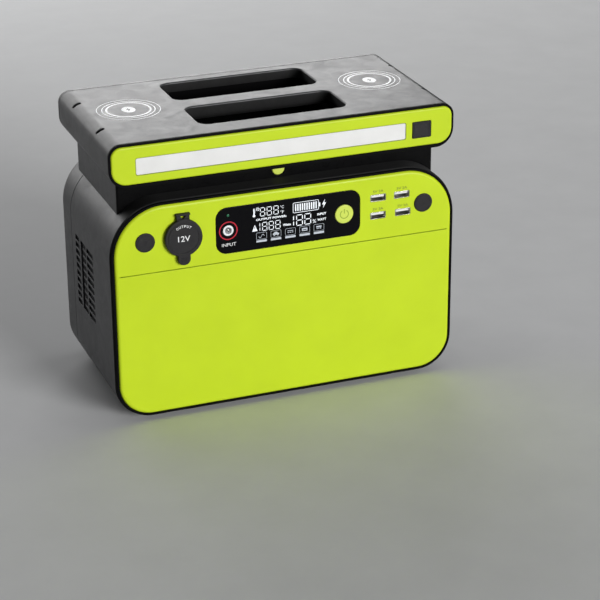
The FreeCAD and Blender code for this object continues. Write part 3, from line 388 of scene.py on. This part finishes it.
def milky(name, color):
    """Light bar cover: milky plastic with close upright prisms inside its surface."""
    look = Look(name, 0.42, specular=0.45)
    look.shader.inputs["Subsurface Weight"].default_value = 0.25
    look.shader.inputs["Subsurface Radius"].default_value = (0.002, 0.002, 0.002)
    look.shader.inputs["Emission Color"].default_value = (1.0, 0.99, 0.96, 1.0)
    look.shader.inputs["Emission Strength"].default_value = 0.06
    normal, edge_mask = look.edges(0.3)
    prisms = look.waves(0.8, "X")
    cloud = look.noise(14.0, detail=3.0)
    body = look.blend(look.remap(cloud, 0.3, 0.7), shade(color, 0.97), shade(color, 1.02))
    body = look.blend(look.maths("MULTIPLY", prisms, 0.05), body, shade(color, 0.86))
    body = look.blend(look.maths("MULTIPLY", edge_mask, 0.35), body, shade(color, 0.75))
    return look.finish(body, look.remap(cloud, 0.3, 0.7, 0.36, 0.48), look.bump(prisms, 0.01, normal))


def lit(name, color, strength):
    """Lit display segment: a soft glow with the fine pixel grid of the layer behind it. The pad marks use
    it as a painted glow.
    """
    look = Look(name, 0.35, specular=0.3)
    grid = look.maths("MULTIPLY", look.waves(0.3, "X"), look.waves(0.3, "Z"))
    cloud = look.noise(6.0, detail=2.0)
    tone = look.blend(look.remap(grid, 0.0, 0.5, 0.0, 1.0), shade(color, 0.9), shade(color, 1.0))
    tone = look.blend(look.maths("MULTIPLY", cloud, 0.2), tone, shade(color, 0.85))
    look.feed(look.shader.inputs["Emission Color"], tone)
    look.shader.inputs["Emission Strength"].default_value = strength
    return look.finish(tone, look.remap(cloud, 0.3, 0.7, 0.3, 0.4))


def ink(name, color, roughness=0.5):
    """Screen-printed ink: slightly uneven cover with a faint woven edge. It also makes the black of a
    painted shade.
    """
    look = Look(name, roughness, specular=0.4)
    fine = look.noise(0.25, detail=3.0, rough=0.7)
    cloud = look.noise(4.0, detail=3.0)
    tone = look.maths("ADD", look.maths("MULTIPLY", fine, 0.5), look.maths("MULTIPLY", cloud, 0.5))
    body = look.blend(look.remap(tone, 0.35, 0.65), shade(color, 0.9), shade(color, 1.05))
    return look.finish(body, look.remap(fine, 0.3, 0.7, roughness - 0.06, roughness + 0.08),
                       look.bump(fine, 0.01))


CHARCOAL = (0.0325, 0.0334, 0.0356)
LIME = (0.54, 0.695, 0.018)
LIME_BUTTON = (0.63, 0.74, 0.11)

LOOKS = {
    "charcoal_plastic": moulded("charcoal_plastic", CHARCOAL, 0.42, grain=0.5, depth=0.02),
    # The case and the deck carry black painted shade: the case on its front edge and on the ledge under the
    # deck, the deck on its handle slots' walls.
    "case_plastic": moulded("case_plastic", CHARCOAL, 0.42, grain=0.5, depth=0.02, painted_shade=front_edge_and_ledge_shade),
    "deck_plastic": moulded("deck_plastic", CHARCOAL, 0.42, grain=0.5, depth=0.02, painted_shade=handle_slot_shade),
    "black_trim": moulded("black_trim", (0.0032, 0.0032, 0.0036), 0.55, grain=0.4, depth=0.008, wear=1.3,
                          specular=0.05),
    "black_gloss": glossy("black_gloss", (0.0028, 0.0028, 0.003), 0.3, specular=0.08),
    "lime_plastic": glossy("lime_plastic", LIME, 0.36, ripple=0.006, specular=0.25, edge=0.9, edge_highlight=0.85),
    "lime_button": glossy("lime_button", LIME_BUTTON, 0.3, ripple=0.004),
    "diffuser": milky("diffuser", (0.73, 0.73, 0.72)),
    "window": glossy("window", (0.0028, 0.0028, 0.0036), 0.12, ripple=0.001, specular=0.12),
    "display": glossy("display", (0.006, 0.007, 0.01), 0.12, ripple=0.001),
    "green_lens": glossy("green_lens", (0.01, 0.14, 0.06), 0.12, coat=0.6),
    "jack_plastic": glossy("jack_plastic", (0.86, 0.88, 0.9), 0.3),
    "rubber": rubbery("rubber", (0.0155, 0.0147, 0.0162)),
    "steel": brushed("steel", (0.74, 0.73, 0.76), 0.28, stretch=(1.0, 0.05, 1.0)),
    "screw_steel": brushed("screw_steel", (0.16, 0.16, 0.165), 0.38, stretch=(1.0, 1.0, 1.0)),
    "nickel": brushed("nickel", (0.75, 0.74, 0.71), 0.22),
    "brass": brushed("brass", (0.78, 0.57, 0.24), 0.26),
    "copper": wound_copper("copper", (0.72, 0.34, 0.16)),
    "ferrite": ferrite_like("ferrite", (0.05, 0.05, 0.055)),
    "circuit_board": circuit_board("circuit_board", (0.012, 0.11, 0.045)),
    "white_plastic": moulded("white_plastic", (0.8, 0.8, 0.79), 0.42, grain=0.4, depth=0.006, wear=1.05),
    "filter_mesh": woven_mesh("filter_mesh", (0.012, 0.012, 0.013)),
    "cell_wrap": cell_wrap("cell_wrap", (0.03, 0.13, 0.3)),
    "aluminium": brushed("aluminium", (0.75, 0.76, 0.77), 0.34),
    "transformer_core": laminated("transformer_core", (0.06, 0.06, 0.065)),
    "holder_plastic": moulded("holder_plastic", (0.03, 0.03, 0.032), 0.5, grain=0.4, depth=0.012, wear=2.0),
}
# Nodes whose finish differs from that of their record material.
OWN_LOOKS = {"case_shell": "case_plastic", "deck_shell": "deck_plastic", "ac_outlets": "holder_plastic"}
WHITE_INK = ink("white_ink", (0.82, 0.83, 0.84))
# Painted glow on the printed pad marks, to make them brighter.
PAD_GLOW = lit("pad_glow", (0.88, 0.89, 0.9), 0.3)
RED_INK = ink("red_ink", (0.52, 0.015, 0.035), 0.35)
LABEL_INK = ink("label_ink", (0.16, 0.21, 0.02))
SYMBOL_INK = ink("symbol_ink", (0.3, 0.42, 0.03))
LINE_INK = ink("line_ink", (0.3, 0.31, 0.32))
# Black for painted shade in a hollow.
HOLLOW_SHADE = ink("hollow_shade", (0.012, 0.012, 0.013))
SEGMENT_LIGHT = lit("segment_light", (0.86, 0.9, 0.95), 0.35)
ICON_LIGHT = lit("icon_light", (0.5, 0.54, 0.6), 0.18)


def paint_nodes():
    """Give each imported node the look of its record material, or its own where it has one."""
    for node, obj in frame["nodes"].items():
        for place in obj.material_slots:
            wanted = place.material.name.split(".")[0]
            place.material = LOOKS[OWN_LOOKS.get(node, wanted)]


# ---------------------------------------------------------------- flat outlines, in millimetres
def circle(u, v, radius, count=64):
    points = []
    for index in range(count):
        angle = 2.0 * math.pi * index / count
        points.append((u + radius * math.cos(angle), v + radius * math.sin(angle)))
    return points


def oval(u, v, half_width, half_height):
    return [(u + a * half_width, v + b * half_height) for a, b in circle(0.0, 0.0, 1.0)]


def annulus(u, v, middle, width, count=96):
    return [circle(u, v, middle + width / 2.0, count), circle(u, v, middle - width / 2.0, count)]


def arc_band(u, v, middle, width, start, end, count=40):
    """Band between two angles in degrees, with square ends."""
    outer = []
    inner = []
    for index in range(count + 1):
        angle = math.radians(start + (end - start) * index / count)
        for points, radius in ((outer, middle + width / 2.0), (inner, middle - width / 2.0)):
            points.append((u + radius * math.cos(angle), v + radius * math.sin(angle)))
    return outer + inner[::-1]


def rectangle(u0, u1, v0, v1):
    return [(u0, v0), (u1, v0), (u1, v1), (u0, v1)]


def rounded(u0, u1, v0, v1, radius, count=8):
    points = []
    corners = [(u1 - radius, v0 + radius, -90.0), (u1 - radius, v1 - radius, 0.0),
               (u0 + radius, v1 - radius, 90.0), (u0 + radius, v0 + radius, 180.0)]
    for u, v, start in corners:
        for index in range(count + 1):
            angle = math.radians(start + 90.0 * index / count)
            points.append((u + radius * math.cos(angle), v + radius * math.sin(angle)))
    return points


def frame_line(u0, u1, v0, v1, radius, width):
    inner = rounded(u0 + width, u1 - width, v0 + width, v1 - width, max(radius - width, 0.05))
    return [rounded(u0, u1, v0, v1, radius), inner]


def moved(points, u, v):
    return [(a + u, b + v) for a, b in points]


def digit(u, v, width, height, bar, gap, lit_bars="abcdefg"):
    """Seven-segment figure whose bars taper towards their ends."""
    w = width
    h = height
    mid = h / 2.0
    half = bar * 0.5
    shapes = {
        "a": [(gap, h), (w - gap, h), (w - gap - bar, h - bar), (gap + bar, h - bar)],
        "d": [(gap, 0.0), (gap + bar, bar), (w - gap - bar, bar), (w - gap, 0.0)],
        "f": [(0.0, h - gap), (bar, h - gap - bar), (bar, mid + gap + half), (0.0, mid + gap)],
        "e": [(0.0, gap), (0.0, mid - gap), (bar, mid - gap - half), (bar, gap + bar)],
        "b": [(w, h - gap), (w, mid + gap), (w - bar, mid + gap + half), (w - bar, h - gap - bar)],
        "c": [(w, gap), (w - bar, gap + bar), (w - bar, mid - gap - half), (w, mid - gap)],
        "g": [(gap + half, mid), (gap + bar, mid + half), (w - gap - bar, mid + half),
              (w - gap - half, mid), (w - gap - bar, mid - half), (gap + bar, mid - half)],
    }
    return [moved(shapes[name], u, v) for name in lit_bars]


def bolt(u, v, width, height):
    """Lightning flash about its centre."""
    shape = [(0.22, 0.5), (-0.5, -0.08), (-0.06, -0.08), (-0.28, -0.5), (0.5, 0.12), (0.04, 0.12)]
    return [(u + a * width, v + b * height) for a, b in shape]


# ---------------------------------------------------------------- pieces
def attach(piece, body, material):
    piece.data.materials.clear()
    piece.data.materials.append(material)
    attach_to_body(piece, body)
    return piece


def placed_mesh(name, curve, origin, facing, height):
    """Mesh of a filled flat curve on a surface, from ROOT_DEPTH inside it to a height above it."""
    right, up, out = FACINGS[facing]
    flat = bpy.data.objects.new(name + "_flat", curve)
    bpy.context.scene.collection.objects.link(flat)
    bpy.context.view_layer.update()
    mesh = bpy.data.meshes.new_from_object(flat)
    bpy.data.objects.remove(flat)
    bpy.data.curves.remove(curve)
    low = min(vertex.co.z for vertex in mesh.vertices)
    high = max(vertex.co.z for vertex in mesh.vertices)
    for vertex in mesh.vertices:
        rise = (vertex.co.z - low) / (high - low)
        lift = -ROOT_DEPTH + (height + ROOT_DEPTH) * rise
        vertex.co = origin + (right * vertex.co.x + up * vertex.co.y + out * lift) * MM
    mesh.name = name
    piece = bpy.data.objects.new(name, mesh)
    bpy.context.scene.collection.objects.link(piece)
    return piece


def flat_piece(name, loops, origin, facing, material, body="station",
               height=PRINT_HEIGHT, bevel=0.0):
    """Solid with the outlines' shape on a surface; an outline inside another is a hole."""
    curve = bpy.data.curves.new(name, "CURVE")
    curve.dimensions = "2D"
    curve.fill_mode = "BOTH"
    curve.extrude = 0.5
    for loop in loops:
        spline = curve.splines.new("POLY")
        spline.points.add(len(loop) - 1)
        for point, (u, v) in zip(spline.points, loop):
            point.co = (u, v, 0.0, 1.0)
        spline.use_cyclic_u = True
    piece = placed_mesh(name, curve, origin, facing, height)
    if bevel:
        rounding = piece.modifiers.new("rounded_edge", "BEVEL")
        rounding.width = bevel * MM
        rounding.segments = 3
        rounding.limit_method = "ANGLE"
    return attach(piece, body, material)


def lettering(name, text, size, origin, facing, material, body="station",
              turn=0.0, middle=(0.0, 0.0), weight=0.0):
    """Raised lettering scaled to a width and height, turned about its own middle."""
    curve = bpy.data.curves.new(name, "FONT")
    curve.body = text
    curve.extrude = 0.5
    curve.offset = weight
    piece = placed_mesh(name, curve, Vector((0.0, 0.0, 0.0)), "top", PRINT_HEIGHT)
    points = [vertex.co / MM for vertex in piece.data.vertices]
    low = Vector((min(p.x for p in points), min(p.y for p in points)))
    high = Vector((max(p.x for p in points), max(p.y for p in points)))
    right, up, out = FACINGS[facing]
    cos = math.cos(math.radians(turn))
    sin = math.sin(math.radians(turn))
    for vertex, point in zip(piece.data.vertices, points):
        u = ((point.x - low.x) / (high.x - low.x) - 0.5) * size[0]
        v = ((point.y - low.y) / (high.y - low.y) - 0.5) * size[1]
        across = middle[0] + u * cos - v * sin
        upward = middle[1] + u * sin + v * cos
        vertex.co = origin + (right * across + up * upward + out * point.z) * MM
    return attach(piece, body, material)


def front_middle(node):
    """Middle of the front side of a node's box."""
    low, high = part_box(node)
    return Vector(((low.x + high.x) / 2.0, low.y, (low.z + high.z) / 2.0))


# ---------------------------------------------------------------- wireless charging pads
def charging_marks():
    """Printed rings and a bolt over each charging coil, with a painted glow."""
    low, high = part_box("charging_coils")
    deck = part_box("deck_shell")[1].z
    y = (low.y + high.y) / 2.0
    coil_radius = (high.y - low.y) / 2.0
    rings = ((17.3, 1.5), (20.8, 0.8), (25.0, 0.55))        # middle radius and width
    for side, x in (("left", low.x + coil_radius), ("right", high.x - coil_radius)):
        centre = Vector((x, y, deck))
        for index, (radius, width) in enumerate(rings):
            flat_piece(f"pad_ring_{side}_{index + 1}", annulus(0.0, 0.0, radius, width), centre, "top",
                       PAD_GLOW)
        mark = [oval(0.0, 0.0, 5.4, 7.0), bolt(0.0, 0.0, 4.6, 9.6)]
        flat_piece(f"pad_mark_{side}", mark, centre, "top", PAD_GLOW)


# ---------------------------------------------------------------- display
def thermometer(u, v):
    """Stem with its scale, and the bulb apart, because the two overlap."""
    stem = [rounded(u - 0.5, u + 0.5, v - 2.2, v + 3.4, 0.45)]
    for index in range(4):
        level = v - 0.3 + index * 0.8
        stem.append(rectangle(u + 0.75, u + 1.25, level, level + 0.2))
    return stem, [circle(u, v - 2.6, 1.1)]


def fan_icon(u, v):
    loops = annulus(u, v, 1.35, 0.22, 40)
    for index in range(4):
        start = 90.0 * index
        loops.append(arc_band(u, v, 0.72, 0.62, start, start + 52.0, 8))
    return loops


def battery_icon(u0, u1, v0, v1):
    loops = frame_line(u0, u1, v0, v1, 1.1, 0.42)
    middle = (v0 + v1) / 2.0
    loops.append(rounded(u1 + 0.15, u1 + 1.15, middle - 1.7, middle + 1.7, 0.35))
    bars = 10
    side_gap = 1.3
    bar_gap = 0.45
    pitch = (u1 - u0 - 2.0 * side_gap) / bars
    for index in range(bars):
        left = u0 + side_gap + pitch * index
        loops.append(rectangle(left + bar_gap, left + pitch - bar_gap, v0 + 1.4, v1 - 1.4))
    return loops


def sine_mark(u, v):
    """One period of a sine, drawn as a band."""
    half_width = 2.4
    steps = 24
    band = 0.55
    points = []
    for index in range(steps + 1):
        across = -half_width + 2.0 * half_width * index / steps
        points.append((u + across, v + 1.3 * math.sin(across * math.pi / half_width)))
    lower = [(a, b - band) for a, b in reversed(points)]
    return [points + lower]


def car_mark(u, v):
    body = [(-2.6, -0.9), (2.6, -0.9), (2.6, 0.3), (1.6, 0.5),
            (0.9, 1.5), (-1.2, 1.5), (-1.9, 0.5), (-2.6, 0.3)]
    return [moved(body, u, v), circle(u - 1.4, v - 1.2, 0.55, 20), circle(u + 1.5, v - 1.2, 0.55, 20)]


def direct_mark(u, v):
    loops = [rectangle(u - 2.4, u + 2.4, v + 0.5, v + 1.0)]
    for index in range(3):
        left = u - 2.4 + index * 1.8
        loops.append(rectangle(left, left + 1.2, v - 0.9, v - 0.4))
    return loops


def plug_mark(u, v):
    return [rounded(u - 2.3, u + 2.3, v - 1.2, v + 1.3, 0.5), rectangle(u - 1.5, u + 1.5, v - 0.6, v + 0.1)]


def lamp_mark(u, v):
    loops = [rounded(u - 2.2, u + 2.2, v + 0.2, v + 1.3, 0.3)]
    for index in range(3):
        left = u - 1.9 + index * 1.45
        loops.append([(left, v - 0.2), (left + 0.9, v - 0.2),
                      (left + 0.7, v - 1.3), (left + 0.2, v - 1.3)])
    return loops


def display_graphics():
    """Lit segments and printed marks, laid out from the window's lower left corner."""
    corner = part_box("display_window")[0]

    def show(name, loops, material=SEGMENT_LIGHT):
        flat_piece("display_" + name, loops, corner, "front", material)

    def words(name, text, middle, size, weight=0.0):
        lettering("display_" + name, text, size, corner, "front", SEGMENT_LIGHT, middle=middle,
                  weight=weight)

    # Width, height, bar and gap of each reading's figures, and the pitch between them.
    temperature_figure = (4.2, 7.3, 0.55, 0.4)
    temperature_pitch = 5.55
    power_figure = (4.2, 7.2, 0.55, 0.4)
    power_pitch = 5.45
    level_figure = (5.6, 9.3, 0.7, 0.5)
    level_pitch = 6.9

    stem, bulb = thermometer(31.3, 30.6)
    show("thermometer", stem)
    show("thermometer_bulb", bulb)
    show("fan", fan_icon(34.3, 33.2))
    temperature = []
    for index in range(3):
        temperature += digit(36.2 + temperature_pitch * index, 26.8, *temperature_figure)
    show("temperature", temperature)
    words("celsius", "°C", (54.4, 32.3), (2.9, 2.4))
    words("fahrenheit", "°F", (54.4, 28.2), (2.9, 2.4))
    words("output_label", "OUTPUT POWER:", (45.5, 24.4), (25.2, 1.75), 0.03)
    triangle = [(31.8, 20.6), (34.0, 15.2), (29.6, 15.2)]
    show("warning", [triangle, rectangle(31.5, 32.1, 17.3, 19.2), rectangle(31.5, 32.1, 16.1, 16.7)])
    output = digit(32.0, 14.6, *power_figure, "bc")
    for index in range(3):
        output += digit(37.8 + power_pitch * index, 14.6, *power_figure)
    show("output_power", output)
    words("watts", "Watts", (58.3, 17.0), (6.6, 2.0), 0.03)
    show("battery", battery_icon(63.4, 85.0, 25.6, 34.2))
    show("charging", [bolt(89.4, 30.1, 3.4, 7.4)])
    level = digit(58.6, 14.6, *level_figure, "bc")
    for index in range(2):
        level += digit(66.0 + level_pitch * index, 14.6, *level_figure)
    show("level", level)
    words("percent", "%", (81.2, 16.6), (2.9, 3.0))
    words("input_word", "INPUT", (87.4, 21.8), (7.4, 1.9), 0.03)
    words("input_unit", "WATT", (87.4, 17.2), (7.4, 1.9), 0.03)
    marks = (sine_mark, car_mark, direct_mark, plug_mark, lamp_mark)
    icon_pitch = 11.95
    icon_half = 4.3
    for index, mark in enumerate(marks):
        u = 37.2 + icon_pitch * index
        loops = frame_line(u - icon_half, u + icon_half, 7.9, 13.6, 0.8, 0.22)
        loops += mark(u, 10.8)
        loops.append(rectangle(u - icon_half, u + icon_half, 5.6, 7.3))
        show(f"output_{index + 1}", loops, ICON_LIGHT)


def control_marks():
    """Printed rings, symbols and labels of the control panel, and painted shade in the input pin's hollow.
    """
    window = front_middle("display_window")
    jack = (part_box("input_jack")[0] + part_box("input_jack")[1]) / 2.0
    ring = Vector((jack.x, window.y, jack.z))
    flat_piece("jack_ring", annulus(0.0, 0.0, 7.15, 0.9), ring, "front", RED_INK)
    lettering("jack_label", "INPUT", (11.6, 2.7), ring, "front", WHITE_INK, middle=(0.3, -11.6))
    pin = front_middle("input_pin")
    # Painted shade: a black disc stands for the shade in the pin's hollow.
    flat_piece("jack_pin_hollow", [circle(0.0, 0.0, 0.45, 24)], pin, "front", HOLLOW_SHADE)

    button = front_middle("power_button")
    symbol = [arc_band(0.0, 0.0, 3.4, 0.75, 122.0, 418.0), rounded(-0.4, 0.4, 0.6, 4.4, 0.35)]
    flat_piece("power_symbol", symbol, button, "front", SYMBOL_INK, body="power_button")

    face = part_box("control_fascia")[0].y
    for mount in frame["record"]["mounts"]:
        if mount["name"].startswith("usb_port_"):
            row, column = mount["name"].split("_")[2:]
            x, _, z = mount["pos_m"]
            place = Vector((x, face, z + 5.6 * MM))
            rating = "5V 2A" if row == "upper" else "5V 3A"
            lettering(f"usb_label_{row}_{column}", rating, (9.0, 2.1), place, "front", LABEL_INK,
                      weight=0.012)


# ---------------------------------------------------------------- rubber parts
def cap_marks():
    """Ring, lettering and grip ribs on the rubber cap of the 12 V socket."""
    housing = (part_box("socket_housing")[0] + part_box("socket_housing")[1]) / 2.0
    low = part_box("socket_cap")[0]
    face = Vector((housing.x, low.y, housing.z))
    rubber = LOOKS["rubber"]
    flat_piece("cap_ring", annulus(0.0, 0.0, 12.3, 0.7), face, "front", rubber, body="socket_cap",
               height=0.22, bevel=0.1)
    lettering("cap_rating", "12V", (9.8, 4.6), face, "front", WHITE_INK, body="socket_cap",
              middle=(0.0, -0.2), weight=0.01)
    word = "OUTPUT"
    letter_radius = 9.9
    letter_turn = 12.6          # degrees from one letter to the next
    for index, letter in enumerate(word):
        angle = 90.0 - (index - (len(word) - 1) / 2.0) * letter_turn
        around = math.radians(angle)
        spot = (letter_radius * math.cos(around), letter_radius * math.sin(around))
        lettering(f"cap_letter_{index + 1}", letter, (1.6, 2.1), face, "front", WHITE_INK,
                  body="socket_cap", middle=spot, turn=angle - 90.0, weight=0.02)
    tab_end = (low.z - housing.z) / MM
    for index in range(4):
        v = tab_end + 1.8 + index * 1.3
        flat_piece(f"cap_rib_{index + 1}", [rounded(-2.6, 2.6, v, v + 0.6, 0.28)], face, "front", rubber,
                   body="socket_cap", height=0.3, bevel=0.12)


def deck_details():
    """Dark joint round the light bar, its switch's raised border, and the release button's ring."""
    low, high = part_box("lamp_diffuser")
    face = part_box("lamp_panel")[0].y
    middle = Vector(((low.x + high.x) / 2.0, face, (low.z + high.z) / 2.0))
    hidden_rim = 1.5            # the diffuser's flange, behind the panel
    half_x = (high.x - low.x) / 2.0 / MM - hidden_rim
    half_z = (high.z - low.z) / 2.0 / MM - hidden_rim
    outer = 0.5
    inner = 0.18
    joint = [rounded(-half_x - outer, half_x + outer, -half_z - outer, half_z + outer, 1.7),
             rounded(-half_x - inner, half_x + inner, -half_z - inner, half_z + inner, 1.5)]
    flat_piece("diffuser_joint", joint, middle, "front", LABEL_INK)

    switch = front_middle("lamp_switch")
    low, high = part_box("lamp_switch")
    border_inset = 1.1
    half_x = (high.x - low.x) / 2.0 / MM - border_inset
    half_z = (high.z - low.z) / 2.0 / MM - border_inset
    border = frame_line(-half_x, half_x, -half_z, half_z, 0.6, 0.7)
    flat_piece("lamp_switch_border", border, switch, "front", LOOKS["rubber"], body="lamp_switch",
               height=0.25, bevel=0.1)

    neck = front_middle("neck_front")
    button = front_middle("release_button")
    collar = Vector((button.x, neck.y, button.z))
    flat_piece("release_collar", annulus(0.0, 0.0, 6.5, 1.1), collar, "front", LOOKS["black_gloss"],
               height=0.35, bevel=0.12)


def rear_marks():
    """Labels of the mains outlets and the rocker, and the panel's printed frame."""
    low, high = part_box("ac_panel")
    face = high.y
    middle = Vector(((low.x + high.x) / 2.0, face, (low.z + high.z) / 2.0))
    half_x = (high.x - low.x) / 2.0 / MM
    half_z = (high.z - low.z) / 2.0 / MM
    inset = 2.4
    line = frame_line(inset - half_x, half_x - inset, inset - half_z, half_z - inset, 3.4, 0.35)
    flat_piece("ac_frame_line", line, middle, "rear", LINE_INK)
    for mount in frame["record"]["mounts"]:
        if mount["name"].startswith("ac_outlet_"):
            x, _, z = mount["pos_m"]
            place = Vector((x, face, z + 20.3 * MM))
            lettering(mount["name"] + "_label", "AC 120V", (15.0, 2.6), place, "rear", WHITE_INK,
                      weight=0.012)
    base_low, base_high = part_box("ac_switch_base")
    top = Vector(((base_low.x + base_high.x) / 2.0, face, base_high.z))
    lettering("ac_switch_label", "ON", (4.6, 2.4), top, "rear", WHITE_INK, middle=(0.0, 3.6), weight=0.012)


def screw_cover_marks():
    """Two low rings on each round cover over the fascia's screws."""
    low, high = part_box("screw_covers")
    radius = (high.z - low.z) / 2.0
    z = (low.z + high.z) / 2.0
    rubber = LOOKS["rubber"]
    for side, x in (("left", low.x + radius), ("right", high.x - radius)):
        centre = Vector((x, low.y, z))
        flat_piece(f"cover_ring_{side}", annulus(0.0, 0.0, radius / MM - 1.7, 0.5), centre, "front", rubber,
                   height=0.15, bevel=0.06)
        flat_piece(f"cover_dimple_{side}", annulus(0.0, 0.0, 1.1, 0.5, 40), centre, "front", rubber,
                   height=0.14, bevel=0.06)


# ---------------------------------------------------------------- studio
def floor():
    """Pale floor with a faint broad mottling."""
    mesh = bpy.data.meshes.new("floor")
    half_metres = 20.0
    corners = [(u * half_metres, v * half_metres, 0.0) for u, v in rectangle(-1.0, 1.0, -1.0, 1.0)]
    mesh.from_pydata(corners, [], [(0, 1, 2, 3)])
    ground = bpy.data.objects.new("floor", mesh)
    bpy.context.scene.collection.objects.link(ground)
    look = Look("floor", 0.85, specular=0.12)
    clouds = look.noise(60.0, detail=5.0, rough=0.6)
    grain = look.noise(1.5, detail=3.0)
    tone = look.blend(look.remap(clouds, 0.3, 0.7), (0.64, 0.645, 0.65, 1.0), (0.68, 0.685, 0.69, 1.0))
    mesh.materials.append(look.finish(tone, look.remap(clouds, 0.3, 0.7, 0.8, 0.9), look.bump(grain, 0.05)))


def area_light(name, place, target, size, power, spread=180.0):
    """Softbox aimed at a point, in metres; a spread under 180 degrees is a grid over it."""
    lamp = bpy.data.lights.new(name, "AREA")
    lamp.shape = "RECTANGLE"
    lamp.size = size[0]
    lamp.size_y = size[1]
    lamp.energy = power
    lamp.spread = math.radians(spread)
    holder = bpy.data.objects.new(name, lamp)
    holder.location = place
    holder.visible_camera = False
    holder.rotation_euler = (Vector(target) - Vector(place)).to_track_quat("-Z", "Y").to_euler()
    bpy.context.scene.collection.objects.link(holder)


def studio_light():
    """Two low softboxes behind for sheen, one overhead, one on the right, and a gridded front fill."""
    middle = (cad_bounds[0][2] + cad_bounds[1][2]) / 2.0
    area_light("rear_softbox", (0.4, 2.6, 0.9), (0.0, 0.0, middle), (2.0, 1.0), 34.0)
    area_light("left_rear_softbox", (-1.3, 2.2, 0.8), (0.0, 0.0, middle), (1.6, 1.0), 14.0)
    area_light("overhead_softbox", (0.0, 0.2, 1.7), (0.0, 0.0, middle), (2.0, 1.6), 2.5)
    area_light("front_fill", (1.55, -4.1, 1.14), (0.0, 0.0, middle), (2.1, 1.4), 40.0, spread=80.0)
    area_light("right_softbox", (2.3, 0.5, 0.9), (0.0, 0.0, middle), (1.2, 1.0), 8.0)
    world = bpy.data.worlds.new("surround")
    world.use_nodes = True
    background = world.node_tree.nodes["Background"]
    background.inputs["Color"].default_value = (0.8, 0.82, 0.85, 1.0)
    background.inputs["Strength"].default_value = 0.02
    bpy.context.scene.world = world


def camera():
    """Long lens about 1.7 m away, left of the object's front and above it, as in the photograph."""
    yaw = math.radians(20.721)
    pitch = math.radians(23.498)
    roll = math.radians(0.448)
    lens_mm = 124.53
    place_metres = (-0.52366, -1.48505, 0.73852)
    data = bpy.data.cameras.new("camera")
    data.lens = lens_mm
    data.sensor_width = 36.0
    data.clip_end = 60.0
    view = bpy.data.objects.new("camera", data)
    turn = Matrix.Rotation(-yaw, 4, "Z") @ Matrix.Rotation(math.pi / 2.0 - pitch, 4, "X")
    turn = turn @ Matrix.Rotation(-roll, 4, "Z")
    view.matrix_world = Matrix.Translation(place_metres) @ turn
    bpy.context.scene.collection.objects.link(view)
    bpy.context.scene.camera = view


paint_nodes()
charging_marks()
display_graphics()
control_marks()
cap_marks()
screw_cover_marks()
deck_details()
rear_marks()
floor()
studio_light()
camera()
bpy.context.scene.view_settings.view_transform = "Standard"
